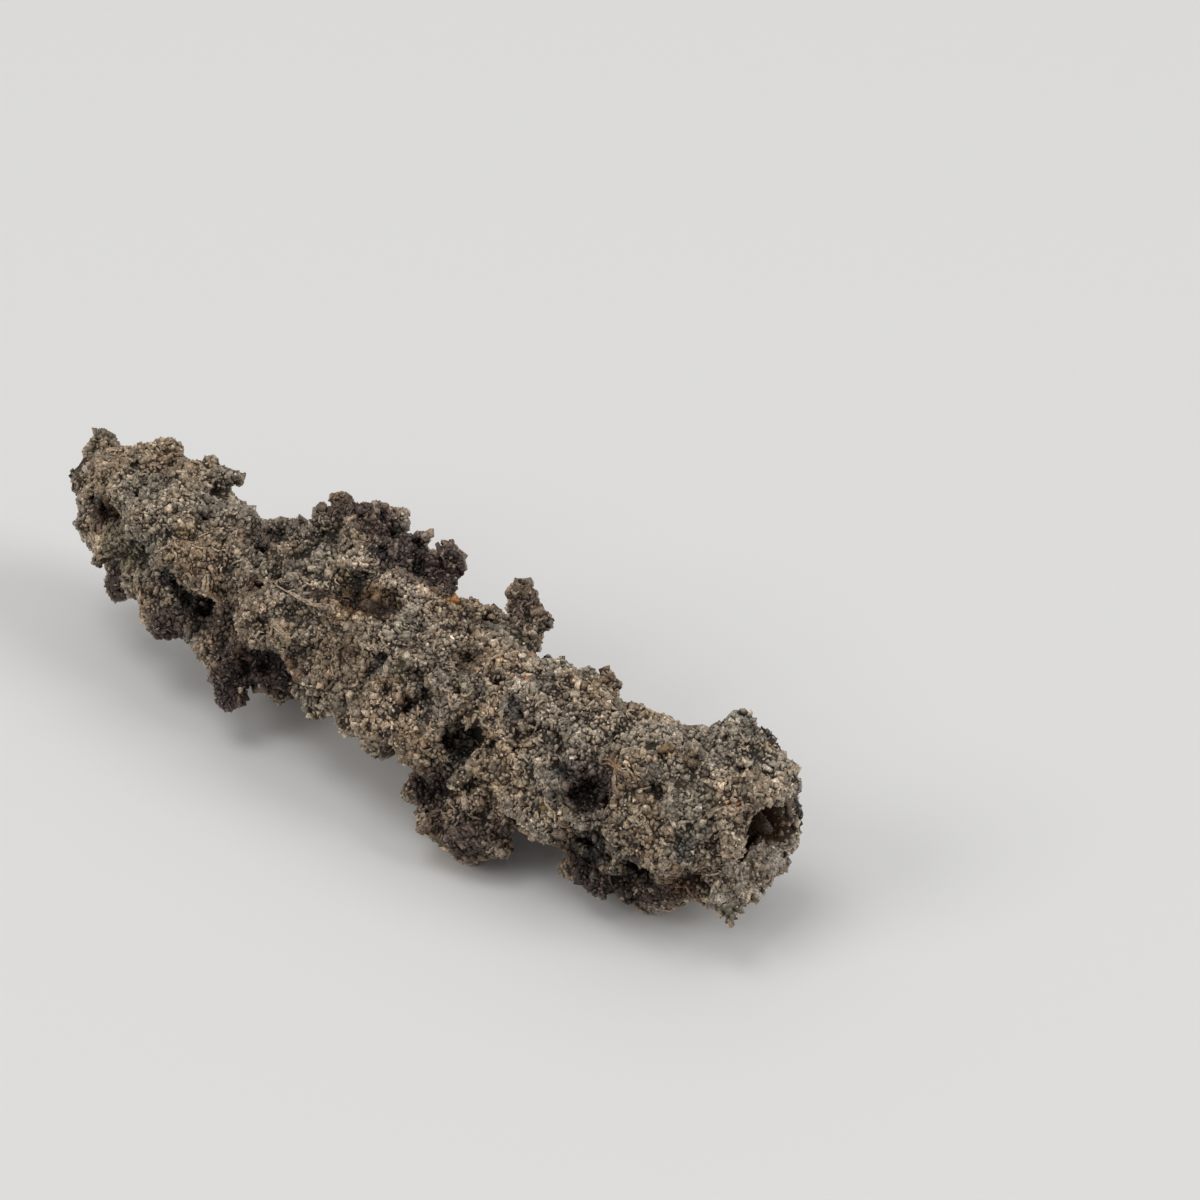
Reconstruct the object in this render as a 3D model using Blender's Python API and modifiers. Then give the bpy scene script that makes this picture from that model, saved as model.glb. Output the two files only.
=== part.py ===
"""Fulgurite: a gritty tube of sand fused by lightning, lying on its side.

The stone is one piece. Its tube runs along X, and its broken open end faces +X. Knobs, ridges and
spurs of fused sand stand out of the tube, and the lowest of them are flat where they rest on Z = 0.
"""
import math

import bmesh
import bpy
from mathutils import Matrix, Vector

MM = 0.001

# The tube's middle line and outer radius at stations along it: x, y, z, radius, in mm.
TUBE = (
    (-28.2, 0.9, 8.7, 3.2),
    (-26.0, 0.6, 8.6, 4.2),
    (-22.0, 0.2, 8.4, 4.6),
    (-18.0, -0.4, 7.9, 4.2),
    (-13.0, -0.7, 7.5, 3.9),
    (-8.0, -0.9, 7.0, 4.3),
    (-3.0, -1.0, 7.1, 4.6),
    (3.0, -0.8, 7.1, 4.7),
    (9.0, -1.1, 6.8, 4.7),
    (14.0, -1.2, 6.7, 4.8),
    (18.0, -1.3, 6.7, 4.8),
    (22.0, -1.2, 6.9, 4.8),
    (25.0, -0.9, 7.0, 4.5),
    (26.2, -0.8, 6.9, 4.1),
)
# The bore the lightning left: x, y, z, radius, in mm. It is widest at the open end.
BORE = (
    (-36.0, 1.2, 9.4, 1.6),
    (-29.0, 0.9, 9.0, 1.5),
    (-20.0, 0.2, 8.3, 1.3),
    (-8.0, -0.7, 7.3, 1.4),
    (8.0, -0.9, 7.0, 1.6),
    (19.0, -0.6, 6.8, 1.6),
    (24.0, -0.4, 6.8, 1.9),
    (27.0, -0.2, 6.7, 2.2),
    (33.0, 0.2, 6.6, 2.8),
)
RING_SIDES = 24
VOXEL = 0.36 * MM
KEPT_SHARE = 0.14  # share of the remeshed faces that is kept
# From the tube's own frame to the middle of the finished stone's box, in mm.
TO_MIDDLE = (1.81, 1.047, 0.0)
WELD = 0.01 * MM

# Each lump is: x along the tube, clock angle about it in degrees (0 is +Y, 90 is up), distance of
# its centre from the tube's middle line, size, stretch along the tube, stretch outwards; in mm.
LUMPS = {
    "far_end": (
        (-30.1, 56, 1.5, 1.05, 0.8, 1.8),
        (-28.0, 100, 1.6, 1.5, 1.0, 1.3),
        (-25.2, 55, 3.2, 1.9, 1.3, 1.1),
        (-22.4, 50, 3.9, 1.3, 1.3, 1.2),
        (-20.6, 50, 4.3, 1.3, 0.9, 1.2),
        (-19.7, 47, 5.4, 0.9, 0.9, 1.1),
        (-29.3, 110, 0.8, 1.2, 1.0, 1.1),
        (-28.7, 200, 1.4, 1.3, 1.0, 1.2),
        (-28.2, 200, 2.8, 1.1, 0.9, 1.1),
        (-26.9, 225, 3.6, 1.4, 1.0, 1.2),
        (-25.7, 223, 4.4, 1.1, 1.0, 1.0),
        (-24.4, 222, 5.0, 1.1, 0.9, 1.2),
        (-21.6, 200, 3.4, 1.5, 1.6, 1.0),
        (-22.0, 138, 3.4, 2.2, 2.0, 0.7),
        (-16.6, 150, 3.4, 1.8, 1.8, 0.8),
        (-26.0, 175, 3.2, 1.5, 1.3, 0.9),
    ),
    "far_knobs": (
        (-19.2, 217, 5.3, 1.45, 0.9, 1.1),
        (-18.4, 213, 3.8, 1.2, 1.0, 1.1),
        (-17.0, 216, 4.5, 0.95, 1.0, 1.0),
        (-15.4, 214, 3.8, 0.9, 1.2, 1.0),
    ),
    "post": (
        (-14.0, 213, 4.3, 1.2, 1.0, 1.2),
        (-13.3, 215, 5.2, 1.1, 1.0, 1.2),
        (-12.5, 216, 6.3, 1.1, 1.0, 1.1),
        (-11.8, 216, 6.5, 0.95, 1.2, 0.9),
    ),
    "front_lobes": (
        (-9.4, 148, 3.9, 1.8, 1.5, 0.9),
        (-12.4, 160, 3.7, 1.2, 1.3, 0.8),
        (-8.6, 122, 3.8, 1.3, 1.8, 0.9),
        (-5.2, 121, 3.9, 1.3, 1.5, 0.9),
        (-2.2, 121, 3.8, 1.3, 1.5, 0.9),
        (-6.6, 200, 3.4, 1.9, 1.2, 0.9),
        (-5.6, 221, 3.8, 1.3, 1.4, 1.0),
        (-2.4, 223, 3.5, 1.3, 1.6, 0.9),
        (0.6, 219, 3.5, 1.3, 1.4, 0.9),
        (4.0, 205, 4.0, 1.5, 1.6, 0.9),
        (-1.0, 160, 3.4, 2.0, 2.2, 0.8),
        (3.0, 128, 3.4, 1.8, 1.8, 0.8),
        (10.8, 168, 3.6, 1.9, 1.5, 0.8),
        (13.0, 122, 3.7, 1.7, 2.0, 0.7),
        (14.4, 208, 4.1, 1.25, 1.1, 1.0),
        (19.4, 142, 4.0, 1.2, 1.3, 0.8),
    ),
    "front_face": (
        (-4.8, 196, 4.0, 1.7, 1.2, 0.9),
        (-2.0, 190, 4.3, 1.7, 1.2, 0.95),
        (1.2, 186, 4.9, 1.8, 1.2, 0.95),
        (4.0, 184, 5.0, 1.7, 1.1, 0.95),
        (5.8, 196, 4.6, 1.6, 1.1, 0.95),
        (8.4, 190, 4.3, 1.8, 1.2, 0.95),
        (11.6, 195, 4.4, 1.8, 1.2, 0.95),
        (14.6, 194, 4.2, 1.6, 1.1, 0.95),
    ),
    "end_lobes": (
        (19.3, 192, 3.9, 1.7, 1.1, 0.9),
        (16.6, 196, 4.0, 1.1, 1.0, 0.9),
        (22.9, 172, 3.2, 2.5, 1.1, 0.8),
        (21.6, 205, 3.6, 1.5, 1.3, 1.0),
        (20.6, 122, 3.9, 1.5, 1.5, 0.8),
    ),
    "back_ridge": (
        (-10.0, 48, 6.3, 1.7, 0.9, 1.2),
        (-11.2, 55, 4.5, 1.3, 1.0, 1.1),
        (-12.6, 50, 4.4, 1.1, 0.9, 1.1),
        (-7.9, 50, 6.9, 1.85, 1.1, 1.2),
        (-7.2, 46, 7.9, 1.3, 1.0, 1.1),
        (-4.0, 48, 6.3, 1.65, 1.1, 1.2),
        (-2.0, 46, 7.1, 1.25, 0.9, 1.2),
        (-1.4, 52, 5.4, 1.4, 1.1, 1.2),
        (0.9, 47, 5.0, 0.85, 1.0, 1.0),
        (2.6, 50, 4.9, 1.0, 1.8, 0.9),
        (-14.6, 58, 3.9, 0.9, 1.2, 1.0),
        (-9.0, 71, 4.4, 1.5, 1.3, 1.0),
        (-6.2, 70, 4.8, 1.5, 1.2, 1.0),
        (-3.2, 70, 4.6, 1.5, 1.2, 1.0),
        (-0.6, 66, 4.6, 1.4, 1.2, 1.0),
    ),
    "back_spur": (
        (4.3, 33, 4.8, 1.25, 0.9, 1.4),
        (4.3, 37, 6.2, 1.25, 1.0, 1.1),
        (3.7, 40, 7.6, 1.3, 1.0, 1.0),
        (5.1, 38, 6.8, 1.05, 1.0, 1.0),
        (5.8, 37, 6.3, 0.85, 1.2, 0.9),
    ),
    "crest_beads": (
        (11.5, 47, 4.7, 0.6, 1.0, 1.1),
        (12.7, 47, 4.9, 0.65, 1.0, 1.1),
        (13.6, 47, 4.9, 0.6, 1.0, 1.1),
        (17.0, 52, 4.4, 1.0, 2.2, 0.9),
        (19.8, 48, 4.6, 0.9, 1.3, 0.9),
    ),
    "open_end": (
        (21.9, 50, 5.1, 1.0, 0.9, 1.5),
        (23.0, 47, 5.1, 0.9, 1.2, 1.3),
        (24.1, 45, 4.8, 0.9, 1.1, 1.1),
        (24.9, 38, 4.0, 1.1, 1.2, 1.0),
        (24.8, 8, 3.7, 1.1, 1.2, 1.0),
        (26.3, 340, 3.5, 1.0, 1.3, 1.0),
        (25.6, 300, 3.0, 1.1, 1.3, 1.0),
        (25.8, 262, 2.9, 1.1, 1.2, 1.0),
        (26.4, 220, 3.7, 1.2, 1.0, 1.1),
        (27.5, 214, 4.5, 0.85, 0.9, 1.4),
        (25.8, 150, 3.6, 1.1, 1.3, 0.9),
        (26.2, 96, 3.6, 1.0, 1.0, 0.9),
    ),
    "front_knob": (
        (7.4, 214, 5.2, 2.1, 1.1, 1.1),
        (8.2, 218, 7.2, 2.15, 1.15, 0.95),
        (4.0, 217, 6.4, 0.95, 1.2, 1.0),
        (10.8, 216, 6.6, 1.4, 1.0, 1.1),
        (8.4, 232, 7.6, 1.45, 1.3, 0.9),
    ),
    "low_keel": (
        (16.4, 230, 5.4, 1.2, 1.2, 0.9),
        (18.0, 236, 5.5, 1.5, 1.2, 0.9),
        (20.4, 238, 5.6, 1.5, 1.3, 0.9),
        (22.2, 230, 4.2, 1.3, 1.2, 0.9),
        (19.0, 258, 5.6, 1.5, 1.5, 0.95),
    ),
    "underside": (
        (-12.8, 238, 4.8, 1.5, 1.1, 1.1),
        (-11.0, 252, 5.0, 1.5, 1.4, 0.9),
        (-8.8, 262, 4.9, 1.3, 1.3, 0.9),
        (-14.0, 296, 6.0, 1.8, 1.1, 1.3),
        (-21.5, 268, 4.6, 1.5, 1.5, 0.9),
        (2.5, 283, 5.2, 1.7, 1.4, 1.1),
        (9.4, 306, 6.6, 1.9, 1.1, 1.3),
        (22.4, 302, 5.8, 1.6, 1.2, 1.2),
    ),
    "far_side": (
        (-23.0, 352, 4.3, 1.5, 1.5, 0.9),
        (-17.5, 342, 4.6, 1.2, 1.1, 1.3),
        (-9.6, 350, 4.6, 1.9, 1.5, 0.8),
        (-4.2, 328, 5.2, 1.3, 1.1, 1.3),
        (-2.0, 12, 4.8, 1.3, 1.6, 0.9),
        (7.0, 350, 5.2, 1.1, 1.0, 1.4),
        (10.6, 12, 4.4, 1.6, 1.8, 0.8),
        (15.4, 338, 5.6, 1.2, 1.1, 1.3),
        (19.2, 8, 4.5, 1.5, 1.5, 0.9),
    ),
}
# Holes and hollows, in the same terms: x, clock angle, distance, size, stretches.
PITS = {
    "side_hole": (7.3, 160, 4.6, 1.35, 1.0, 2.6),
    "ledge_hollow": (-9.0, 196, 4.6, 1.3, 1.9, 1.3),
    "far_ledge_hollow": (-16.8, 180, 5.4, 1.1, 2.2, 0.9),
    "far_recess": (-24.6, 152, 5.0, 1.2, 1.2, 1.2),
    "far_slit": (-26.2, 155, 4.4, 0.6, 1.8, 1.2),
    "far_end_dip": (-27.6, 62, 4.3, 1.1, 0.9, 1.0),
    "far_dark_pit": (-17.6, 100, 4.7, 0.7, 1.1, 1.2),
    "saddle": (-13.1, 84, 4.4, 0.9, 1.2, 1.1),
    "valley": (-4.6, 96, 4.9, 1.0, 2.6, 1.3),
    "valley_pit": (-6.4, 90, 4.9, 0.8, 1.0, 1.0),
    "step_hollow": (-13.0, 172, 4.2, 0.9, 1.2, 1.2),
    "step_pit": (-12.0, 137, 4.4, 0.6, 1.1, 1.1),
    "end_pit": (24.0, 72, 4.4, 0.75, 1.3, 1.3),
    "front_hollow": (16.9, 153, 5.0, 1.4, 1.1, 1.1),
    "shoulder_hollow": (14.4, 142, 5.4, 0.8, 1.0, 1.0),
    "keel_hollow": (21.2, 196, 6.0, 1.3, 1.4, 1.3),
    "lobe_notch": (17.2, 212, 5.6, 0.8, 0.9, 1.0),
    "crest_dent": (-0.3, 142, 5.0, 0.75, 1.2, 1.1),
    "middle_pit": (10.3, 126, 5.1, 0.6, 1.1, 1.1),
    "brown_pit": (3.0, 156, 5.3, 0.7, 1.2, 1.0),
    "knob_hollow": (6.0, 207, 6.6, 1.1, 1.5, 1.0),
    "knob_pit": (6.2, 222, 8.4, 0.7, 1.0, 1.2),
    "back_dent": (14.0, 30, 6.4, 1.6, 1.6, 0.9),
    "under_dent": (-17.0, 300, 6.0, 1.6, 1.4, 0.9),
}
# Roughness of the fused sand: width of a bump, height of a bump, in mm.
SWELL = (4.2, 1.5)
LOBES = (2.8, 1.5)
CRUST = (1.5, 1.8)
# Where each texture leaves the skin unmoved, from 0 to 1.
SWELL_MIDDLE = 0.42
LOBES_MIDDLE = 0.4
BLEND_PASSES = 2
FLOOR_BLOCK = (80.0, 40.0, 10.0)  # length, width and depth of what is cut off below the feet


def value_at(stations, x):
    """The values after x in each station, read at x along straight lines between stations."""
    for before, after in zip(stations, stations[1:]):
        if x <= after[0]:
            break
    share = min(max((x - before[0]) / (after[0] - before[0]), 0.0), 1.0)
    return [a + (b - a) * share for a, b in zip(before[1:], after[1:])]


def cloud(name, width):
    """A procedural cloud texture whose bumps are about `width` mm wide."""
    texture = bpy.data.textures.new(name, "CLOUDS")
    texture.noise_scale = width * MM
    texture.noise_depth = 1
    texture.noise_basis = "BLENDER_ORIGINAL"
    return texture


def tube_mesh(name, stations):
    """A closed tube through the stations, as a bevelled curve turned into a mesh."""
    curve = bpy.data.curves.new(name, "CURVE")
    curve.dimensions = "3D"
    curve.bevel_depth = MM
    curve.bevel_resolution = RING_SIDES // 4 - 1
    curve.use_fill_caps = True
    spline = curve.splines.new("POLY")
    spline.points.add(len(stations) - 1)
    for point, (x, y, z, radius) in zip(spline.points, stations):
        point.co = (x * MM, y * MM, z * MM, 1.0)
        point.radius = radius
    guide = bpy.data.objects.new(name + "_curve", curve)
    bpy.context.scene.collection.objects.link(guide)
    bpy.context.view_layer.update()
    graph = bpy.context.evaluated_depsgraph_get()
    mesh = bpy.data.meshes.new_from_object(guide.evaluated_get(graph))
    bpy.data.objects.remove(guide)
    return mesh


def lump_matrix(x, clock, distance, size, along, outwards):
    """Places a unit ball as a lump: it is stretched along the tube and outwards from it."""
    y, z, _ = value_at(TUBE, x)
    turn = math.radians(clock)
    centre = Vector((x, y + distance * math.cos(turn), z + distance * math.sin(turn)))
    stretch = Matrix.Diagonal((size * along, size * outwards, size, 1.0))
    place = Matrix.Translation(centre) @ Matrix.Rotation(turn, 4, "X")
    return Matrix.Scale(MM, 4) @ place @ stretch


def add_lumps(shape, lumps, subdivisions=3):
    for lump in lumps:
        bmesh.ops.create_icosphere(
            shape, subdivisions=subdivisions, radius=1.0, matrix=lump_matrix(*lump)
        )


def object_of(name, shape, collection, helper=False):
    """An object holding the bmesh, set over the middle of the stone's box."""
    mesh = bpy.data.meshes.new(name)
    shape.to_mesh(mesh)
    shape.free()
    obj = bpy.data.objects.new(name, mesh)
    obj.location = Vector(TO_MIDDLE) * MM
    collection.objects.link(obj)
    if helper:
        obj.hide_render = True
        obj.display_type = "WIRE"
    return obj


def remesh(obj, name):
    modifier = obj.modifiers.new(name, "REMESH")
    modifier.mode = "VOXEL"
    modifier.voxel_size = VOXEL


def cells(name, width):
    """A procedural cell texture, dark at the middle of each cell and about `width` mm between them."""
    texture = bpy.data.textures.new(name, "VORONOI")
    texture.noise_scale = width * MM
    texture.noise_intensity = 1.0
    return texture


def roughen(obj, name, texture, height, mid_level=0.5):
    modifier = obj.modifiers.new(name, "DISPLACE")
    modifier.texture = texture
    modifier.texture_coords = "LOCAL"
    modifier.strength = height * MM
    modifier.mid_level = mid_level


def cut(obj, cutter):
    modifier = obj.modifiers.new(cutter.name, "BOOLEAN")
    modifier.operation = "DIFFERENCE"
    modifier.solver = "EXACT"
    modifier.object = cutter


def fuse(stone):
    """Melts the overlapping lumps into one skin and roughens it."""
    remesh(stone, "fuse")
    blend = stone.modifiers.new("blend", "SMOOTH")
    blend.factor = 0.5
    blend.iterations = BLEND_PASSES
    roughen(stone, "swell", cloud("swell", SWELL[0]), SWELL[1], SWELL_MIDDLE)
    roughen(stone, "lobes", cells("lobes", LOBES[0]), -LOBES[1], LOBES_MIDDLE)
    roughen(stone, "crust", cloud("crust", CRUST[0]), CRUST[1])
    remesh(stone, "knit")


def thin_out(stone):
    """Heals the cut surface and keeps as few faces as its forms need."""
    remesh(stone, "heal")
    reduce = stone.modifiers.new("reduce", "DECIMATE")
    reduce.ratio = KEPT_SHARE


def fused_sand():
    """The stone's finish: dull grey-tan glass and quartz."""
    material = bpy.data.materials.new("fused_sand")
    material.use_nodes = True
    shader = material.node_tree.nodes["Principled BSDF"]
    shader.inputs["Base Color"].default_value = (0.30, 0.26, 0.21, 1.0)
    shader.inputs["Roughness"].default_value = 0.75
    shader.inputs["Metallic"].default_value = 0.0
    return material


def tube_shape(name, stations):
    """The tube's bmesh, with its caps welded to its sides and its faces out."""
    shape = bmesh.new()
    shape.from_mesh(tube_mesh(name, stations))
    bmesh.ops.remove_doubles(shape, verts=shape.verts, dist=WELD)
    bmesh.ops.recalc_face_normals(shape, faces=shape.faces)
    return shape


def stone_shape():
    """The tube and every lump, still overlapping, in one bmesh."""
    shape = tube_shape("tube", TUBE)
    for lumps in LUMPS.values():
        add_lumps(shape, lumps)
    return shape


def pit_cutters(collection):
    for name, pit in PITS.items():
        shape = bmesh.new()
        add_lumps(shape, [pit], subdivisions=2)
        yield object_of(name, shape, collection, helper=True)


def floor_cutter(collection):
    """A block under Z = 0, which leaves flat feet on the lowest knobs."""
    length, width, depth = FLOOR_BLOCK
    shape = bmesh.new()
    bmesh.ops.create_cube(shape, size=MM)
    bmesh.ops.scale(shape, vec=(length, width, depth), verts=shape.verts)
    bmesh.ops.translate(shape, vec=(0, 0, -depth / 2 * MM), verts=shape.verts)
    return object_of("floor_cutter", shape, collection, helper=True)


def main():
    for obj in list(bpy.data.objects):
        bpy.data.objects.remove(obj)
    parts = bpy.data.collections.new("fulgurite")
    cutters = bpy.data.collections.new("cutters")
    for collection in (parts, cutters):
        bpy.context.scene.collection.children.link(collection)

    stone = object_of("fulgurite", stone_shape(), parts)
    stone.data.materials.append(fused_sand())
    fuse(stone)
    cut(stone, object_of("bore", tube_shape("bore", BORE), cutters, helper=True))
    for pit in pit_cutters(cutters):
        cut(stone, pit)
    thin_out(stone)
    cut(stone, floor_cutter(cutters))


main()
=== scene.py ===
"""Fulgurite: a gritty tube of sand fused by lightning, with its grains, crust and glass.

The stone's solid gives the form. The crust is a finer skin over it, the grains of sand sit in the
crust, and melted glass lines the bore. Places are in mm in the stone's own frame: X along the tube
with the open end at +X, Z up from the surface it rests on.
"""
import math

import bmesh
import bpy
import numpy as np
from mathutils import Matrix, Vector
from mathutils.kdtree import KDTree


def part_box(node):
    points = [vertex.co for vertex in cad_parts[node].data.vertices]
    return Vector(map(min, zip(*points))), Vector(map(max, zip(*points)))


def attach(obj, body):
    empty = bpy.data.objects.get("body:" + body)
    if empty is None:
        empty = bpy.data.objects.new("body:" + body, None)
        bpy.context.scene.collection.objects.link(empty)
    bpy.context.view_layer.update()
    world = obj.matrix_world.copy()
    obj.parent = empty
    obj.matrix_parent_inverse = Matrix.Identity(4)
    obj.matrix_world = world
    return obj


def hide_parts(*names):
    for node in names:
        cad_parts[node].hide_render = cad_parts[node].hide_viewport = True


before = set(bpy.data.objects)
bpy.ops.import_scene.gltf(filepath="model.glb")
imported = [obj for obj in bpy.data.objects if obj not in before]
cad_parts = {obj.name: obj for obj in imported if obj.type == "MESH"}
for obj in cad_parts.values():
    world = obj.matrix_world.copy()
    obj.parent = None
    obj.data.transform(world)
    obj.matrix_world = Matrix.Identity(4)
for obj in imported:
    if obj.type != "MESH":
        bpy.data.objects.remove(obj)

bl_info = {
    "name": "Fulgurite",
    "version": (1, 0, 0),
    "blender": (4, 5, 0),
    "location": "3D View > Sidebar > Fulgurite",
    "description": "Dresses a fulgurite with fused crust, sand grains and glass",
    "category": "Add Mesh",
}

STONE = "fulgurite"
BODY = "root"
MM = 0.001

# The bore's middle line and radius: x, y, z, radius, in mm.
BORE = np.array(
    (
        (-34.2, 2.2, 9.4, 1.6),
        (-27.2, 1.9, 9.0, 1.5),
        (-18.2, 1.2, 8.3, 1.3),
        (-6.2, 0.3, 7.3, 1.4),
        (9.8, 0.1, 7.0, 1.6),
        (20.8, 0.4, 6.8, 1.6),
        (25.8, 0.6, 6.8, 1.9),
        (28.8, 0.8, 6.7, 2.2),
        (34.8, 1.2, 6.6, 2.8),
    )
)

# Colours of the sand and the melt, as linear red, green and blue.
COLOURS = {
    "clear quartz": (0.52, 0.44, 0.345),
    "grey quartz": (0.25, 0.213, 0.17),
    "cream": (0.46, 0.37, 0.27),
    "tan": (0.30, 0.218, 0.138),
    "brown": (0.15, 0.095, 0.055),
    "rust": (0.24, 0.105, 0.04),
    "smoky": (0.077, 0.052, 0.042),
    "black": (0.008, 0.006, 0.005),
    "greenish grey": (0.215, 0.20, 0.155),
    "purple brown": (0.046, 0.028, 0.025),
    "dark brown": (0.034, 0.018, 0.011),
    "red brown": (0.085, 0.038, 0.020),
    "honey": (0.085, 0.040, 0.013),
    "olive": (0.10, 0.082, 0.040),
    "yellow": (0.40, 0.27, 0.08),
    "pale glass": (0.40, 0.37, 0.31),
    "slate": (0.050, 0.048, 0.048),
    "warm glass": (0.60, 0.50, 0.40),
    "amber glass": (0.13, 0.078, 0.038),
    "bore": (0.055, 0.028, 0.014),
}

# Pits in the crust: x, y, z of the mouth, radius, depth, in mm.
PITS = {
    "far slit mouth": (-25.2, -1.5, 10.1, 0.45, 1.1),
    "far slit": (-23.9, -1.9, 10.2, 0.6, 0.9),
    "far slit end": (-22.8, -1.8, 10.1, 0.55, 0.8),
    "far top": (-16.0, 0.0, 11.9, 0.3, 0.6),
    "groove": (-16.7, -3.6, 9.0, 0.4, 0.7),
    "groove middle": (-15.9, -3.1, 8.3, 0.45, 0.8),
    "groove end": (-15.0, -3.3, 7.6, 0.5, 0.9),
    "groove foot": (-13.9, -2.8, 7.0, 0.45, 0.8),
    "step": (-11.5, -3.0, 7.8, 0.5, 0.8),
    "beside post": (-12.6, -5.1, 5.3, 0.55, 0.6),
    "beside post low": (-12.2, -4.5, 3.6, 0.6, 0.7),
    "step top": (-9.6, -4.0, 9.2, 0.35, 0.7),
    "shoulder": (-10.6, -2.1, 10.6, 0.3, 0.6),
    "shoulder front": (-9.5, -2.3, 10.5, 0.35, 0.6),
    "saddle": (-11.6, 0.6, 11.1, 0.33, 0.6),
    "crease": (-3.6, 3.4, 12.9, 0.4, 0.9),
    "crease left": (-4.4, 2.8, 12.9, 0.3, 0.7),
    "crease foot": (-3.8, 0.9, 11.7, 0.33, 0.6),
    "ridge gap": (-1.0, 3.4, 12.6, 0.28, 0.6),
    "ring": (-0.9, -3.4, 10.1, 0.35, 0.6),
    "ring top": (0.5, -3.2, 10.7, 0.3, 0.5),
    "blue": (1.6, -3.0, 10.3, 0.5, 0.7),
    "blue front": (1.3, -3.7, 9.5, 0.35, 0.5),
    "small": (5.5, -3.8, 9.8, 0.33, 0.8),
    "brown": (4.7, -4.2, 8.9, 0.45, 0.9),
    "side hole": (8.9, -4.0, 8.1, 1.05, 3.0),
    "side hole top": (9.0, -3.9, 8.9, 0.75, 2.2),
    "lens": (11.5, -4.5, 9.0, 0.55, 0.5),
    "black": (12.1, -2.6, 10.7, 0.35, 0.8),
    "grey": (11.2, -2.3, 10.9, 0.35, 0.5),
    "middle": (6.4, -0.4, 11.1, 0.4, 0.6),
    "right": (16.3, -3.9, 9.6, 0.5, 0.9),
    "right below": (17.2, -4.2, 9.2, 0.45, 0.8),
    "right foot": (17.0, -5.1, 8.1, 0.4, 0.7),
    "front hollow": (18.2, -3.8, 8.1, 0.9, 1.0),
    "front hollow end": (19.7, -3.9, 8.4, 0.6, 0.9),
    "under lobe": (18.9, -5.0, 5.6, 0.7, 1.0),
    "under lobe end": (20.6, -5.4, 5.2, 0.7, 0.9),
    "keel": (22.9, -4.5, 4.8, 1.0, 1.4),
    "end top": (24.9, 1.3, 11.0, 0.33, 0.8),
    "end top right": (25.9, 1.6, 10.5, 0.45, 1.0),
    "knob": (8.8, -5.7, 5.1, 0.5, 0.7),
    "knob front": (11.0, -6.1, 4.1, 0.35, 0.5),
    "ridge step": (-4.6, 6.7, 14.3, 1.1, 1.1),
    "ridge step left": (-5.9, 6.3, 14.7, 0.85, 0.85),
    "horn side": (-27.4, 4.2, 11.9, 0.9, 0.9),
    "far left": (-26.5, -2.2, 8.2, 0.9, 0.9),
    "far left foot": (-26.3, -2.2, 6.6, 0.85, 0.85),
    "spur notch": (8.6, 5.3, 10.1, 1.05, 1.05),
    "spur tip": (5.2, 6.5, 13.35, 0.75, 0.75),
    "end notch": (28.0, 3.9, 9.5, 0.5, 0.5),
    "end notch low": (28.1, 4.0, 6.1, 0.55, 0.6),
    "spike gap": (27.2, -3.6, 5.1, 0.25, 0.5),
    "spike gap top": (26.6, -3.6, 5.9, 0.22, 0.5),
}

# Small forms that stand on the crust: x, y, z of the foot, radius, stretch outwards, in mm.
NUBS = {
    "brown knob": (-14.5, -4.0, 5.9, 0.55, 1.0),
    "tan mound": (-5.9, -3.9, 9.3, 1.0, 0.6),
    "left flake": (-25.5, -1.8, 8.3, 0.6, 1.1),
    "pale": (20.9, -4.1, 9.7, 0.4, 1.1),
    "ridge": (-7.2, 4.4, 13.6, 0.6, 0.7),
    "ridge bead": (-2.6, 4.6, 13.4, 0.5, 0.9),
    "spur": (5.15, 6.2, 11.75, 1.0, 1.0),
    "spur side": (6.4, 5.7, 11.4, 0.8, 1.0),
    "spur foot": (5.4, 6.0, 10.9, 0.85, 1.0),
    "spur heel": (4.9, 5.9, 10.6, 0.6, 1.0),
    "spur left": (4.9, 4.0, 11.2, 0.65, 1.0),
    "under spur": (8.4, 4.9, 8.6, 0.45, 1.0),
    "beside spur": (11.3, 2.6, 11.1, 0.5, 1.0),
    "ridge peak": (-9.4, 5.5, 13.1, 0.6, 0.8),
    "ridge slope": (-2.5, 5.6, 12.7, 0.75, 1.0),
    "horn": (-28.7, 2.9, 11.2, 0.5, 0.9),
    "far corner": (-17.3, 4.8, 11.8, 0.5, 0.8),
    "left corner": (-23.0, -3.1, 7.1, 0.5, 1.0),
    "lower edge": (2.9, -4.9, 4.9, 0.75, 1.0),
    "lower edge left": (1.6, -4.4, 4.4, 0.65, 1.0),
    "crest": (14.4, 3.2, 11.2, 0.5, 1.0),
    "crest side": (15.0, 3.3, 10.5, 0.5, 1.0),
    "knob": (11.3, -6.6, 3.0, 0.6, 0.8),
    "knob neck": (9.6, -5.8, 6.0, 0.5, 0.9),
    "post": (-10.1, -4.9, 4.9, 0.5, 0.9),
    "post corner": (-8.7, -5.3, 3.5, 0.55, 0.9),
    "ledge hem": (-8.3, -3.4, 4.0, 0.7, 1.0),
    "lobe": (21.1, -4.9, 7.2, 0.7, 0.7),
    "lobe edge": (25.2, -5.2, 7.3, 0.6, 0.8),
    "front wall": (28.6, -2.6, 8.0, 0.5, 1.0),
    "right lobe": (27.1, 3.6, 10.4, 0.6, 0.9),
}

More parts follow.
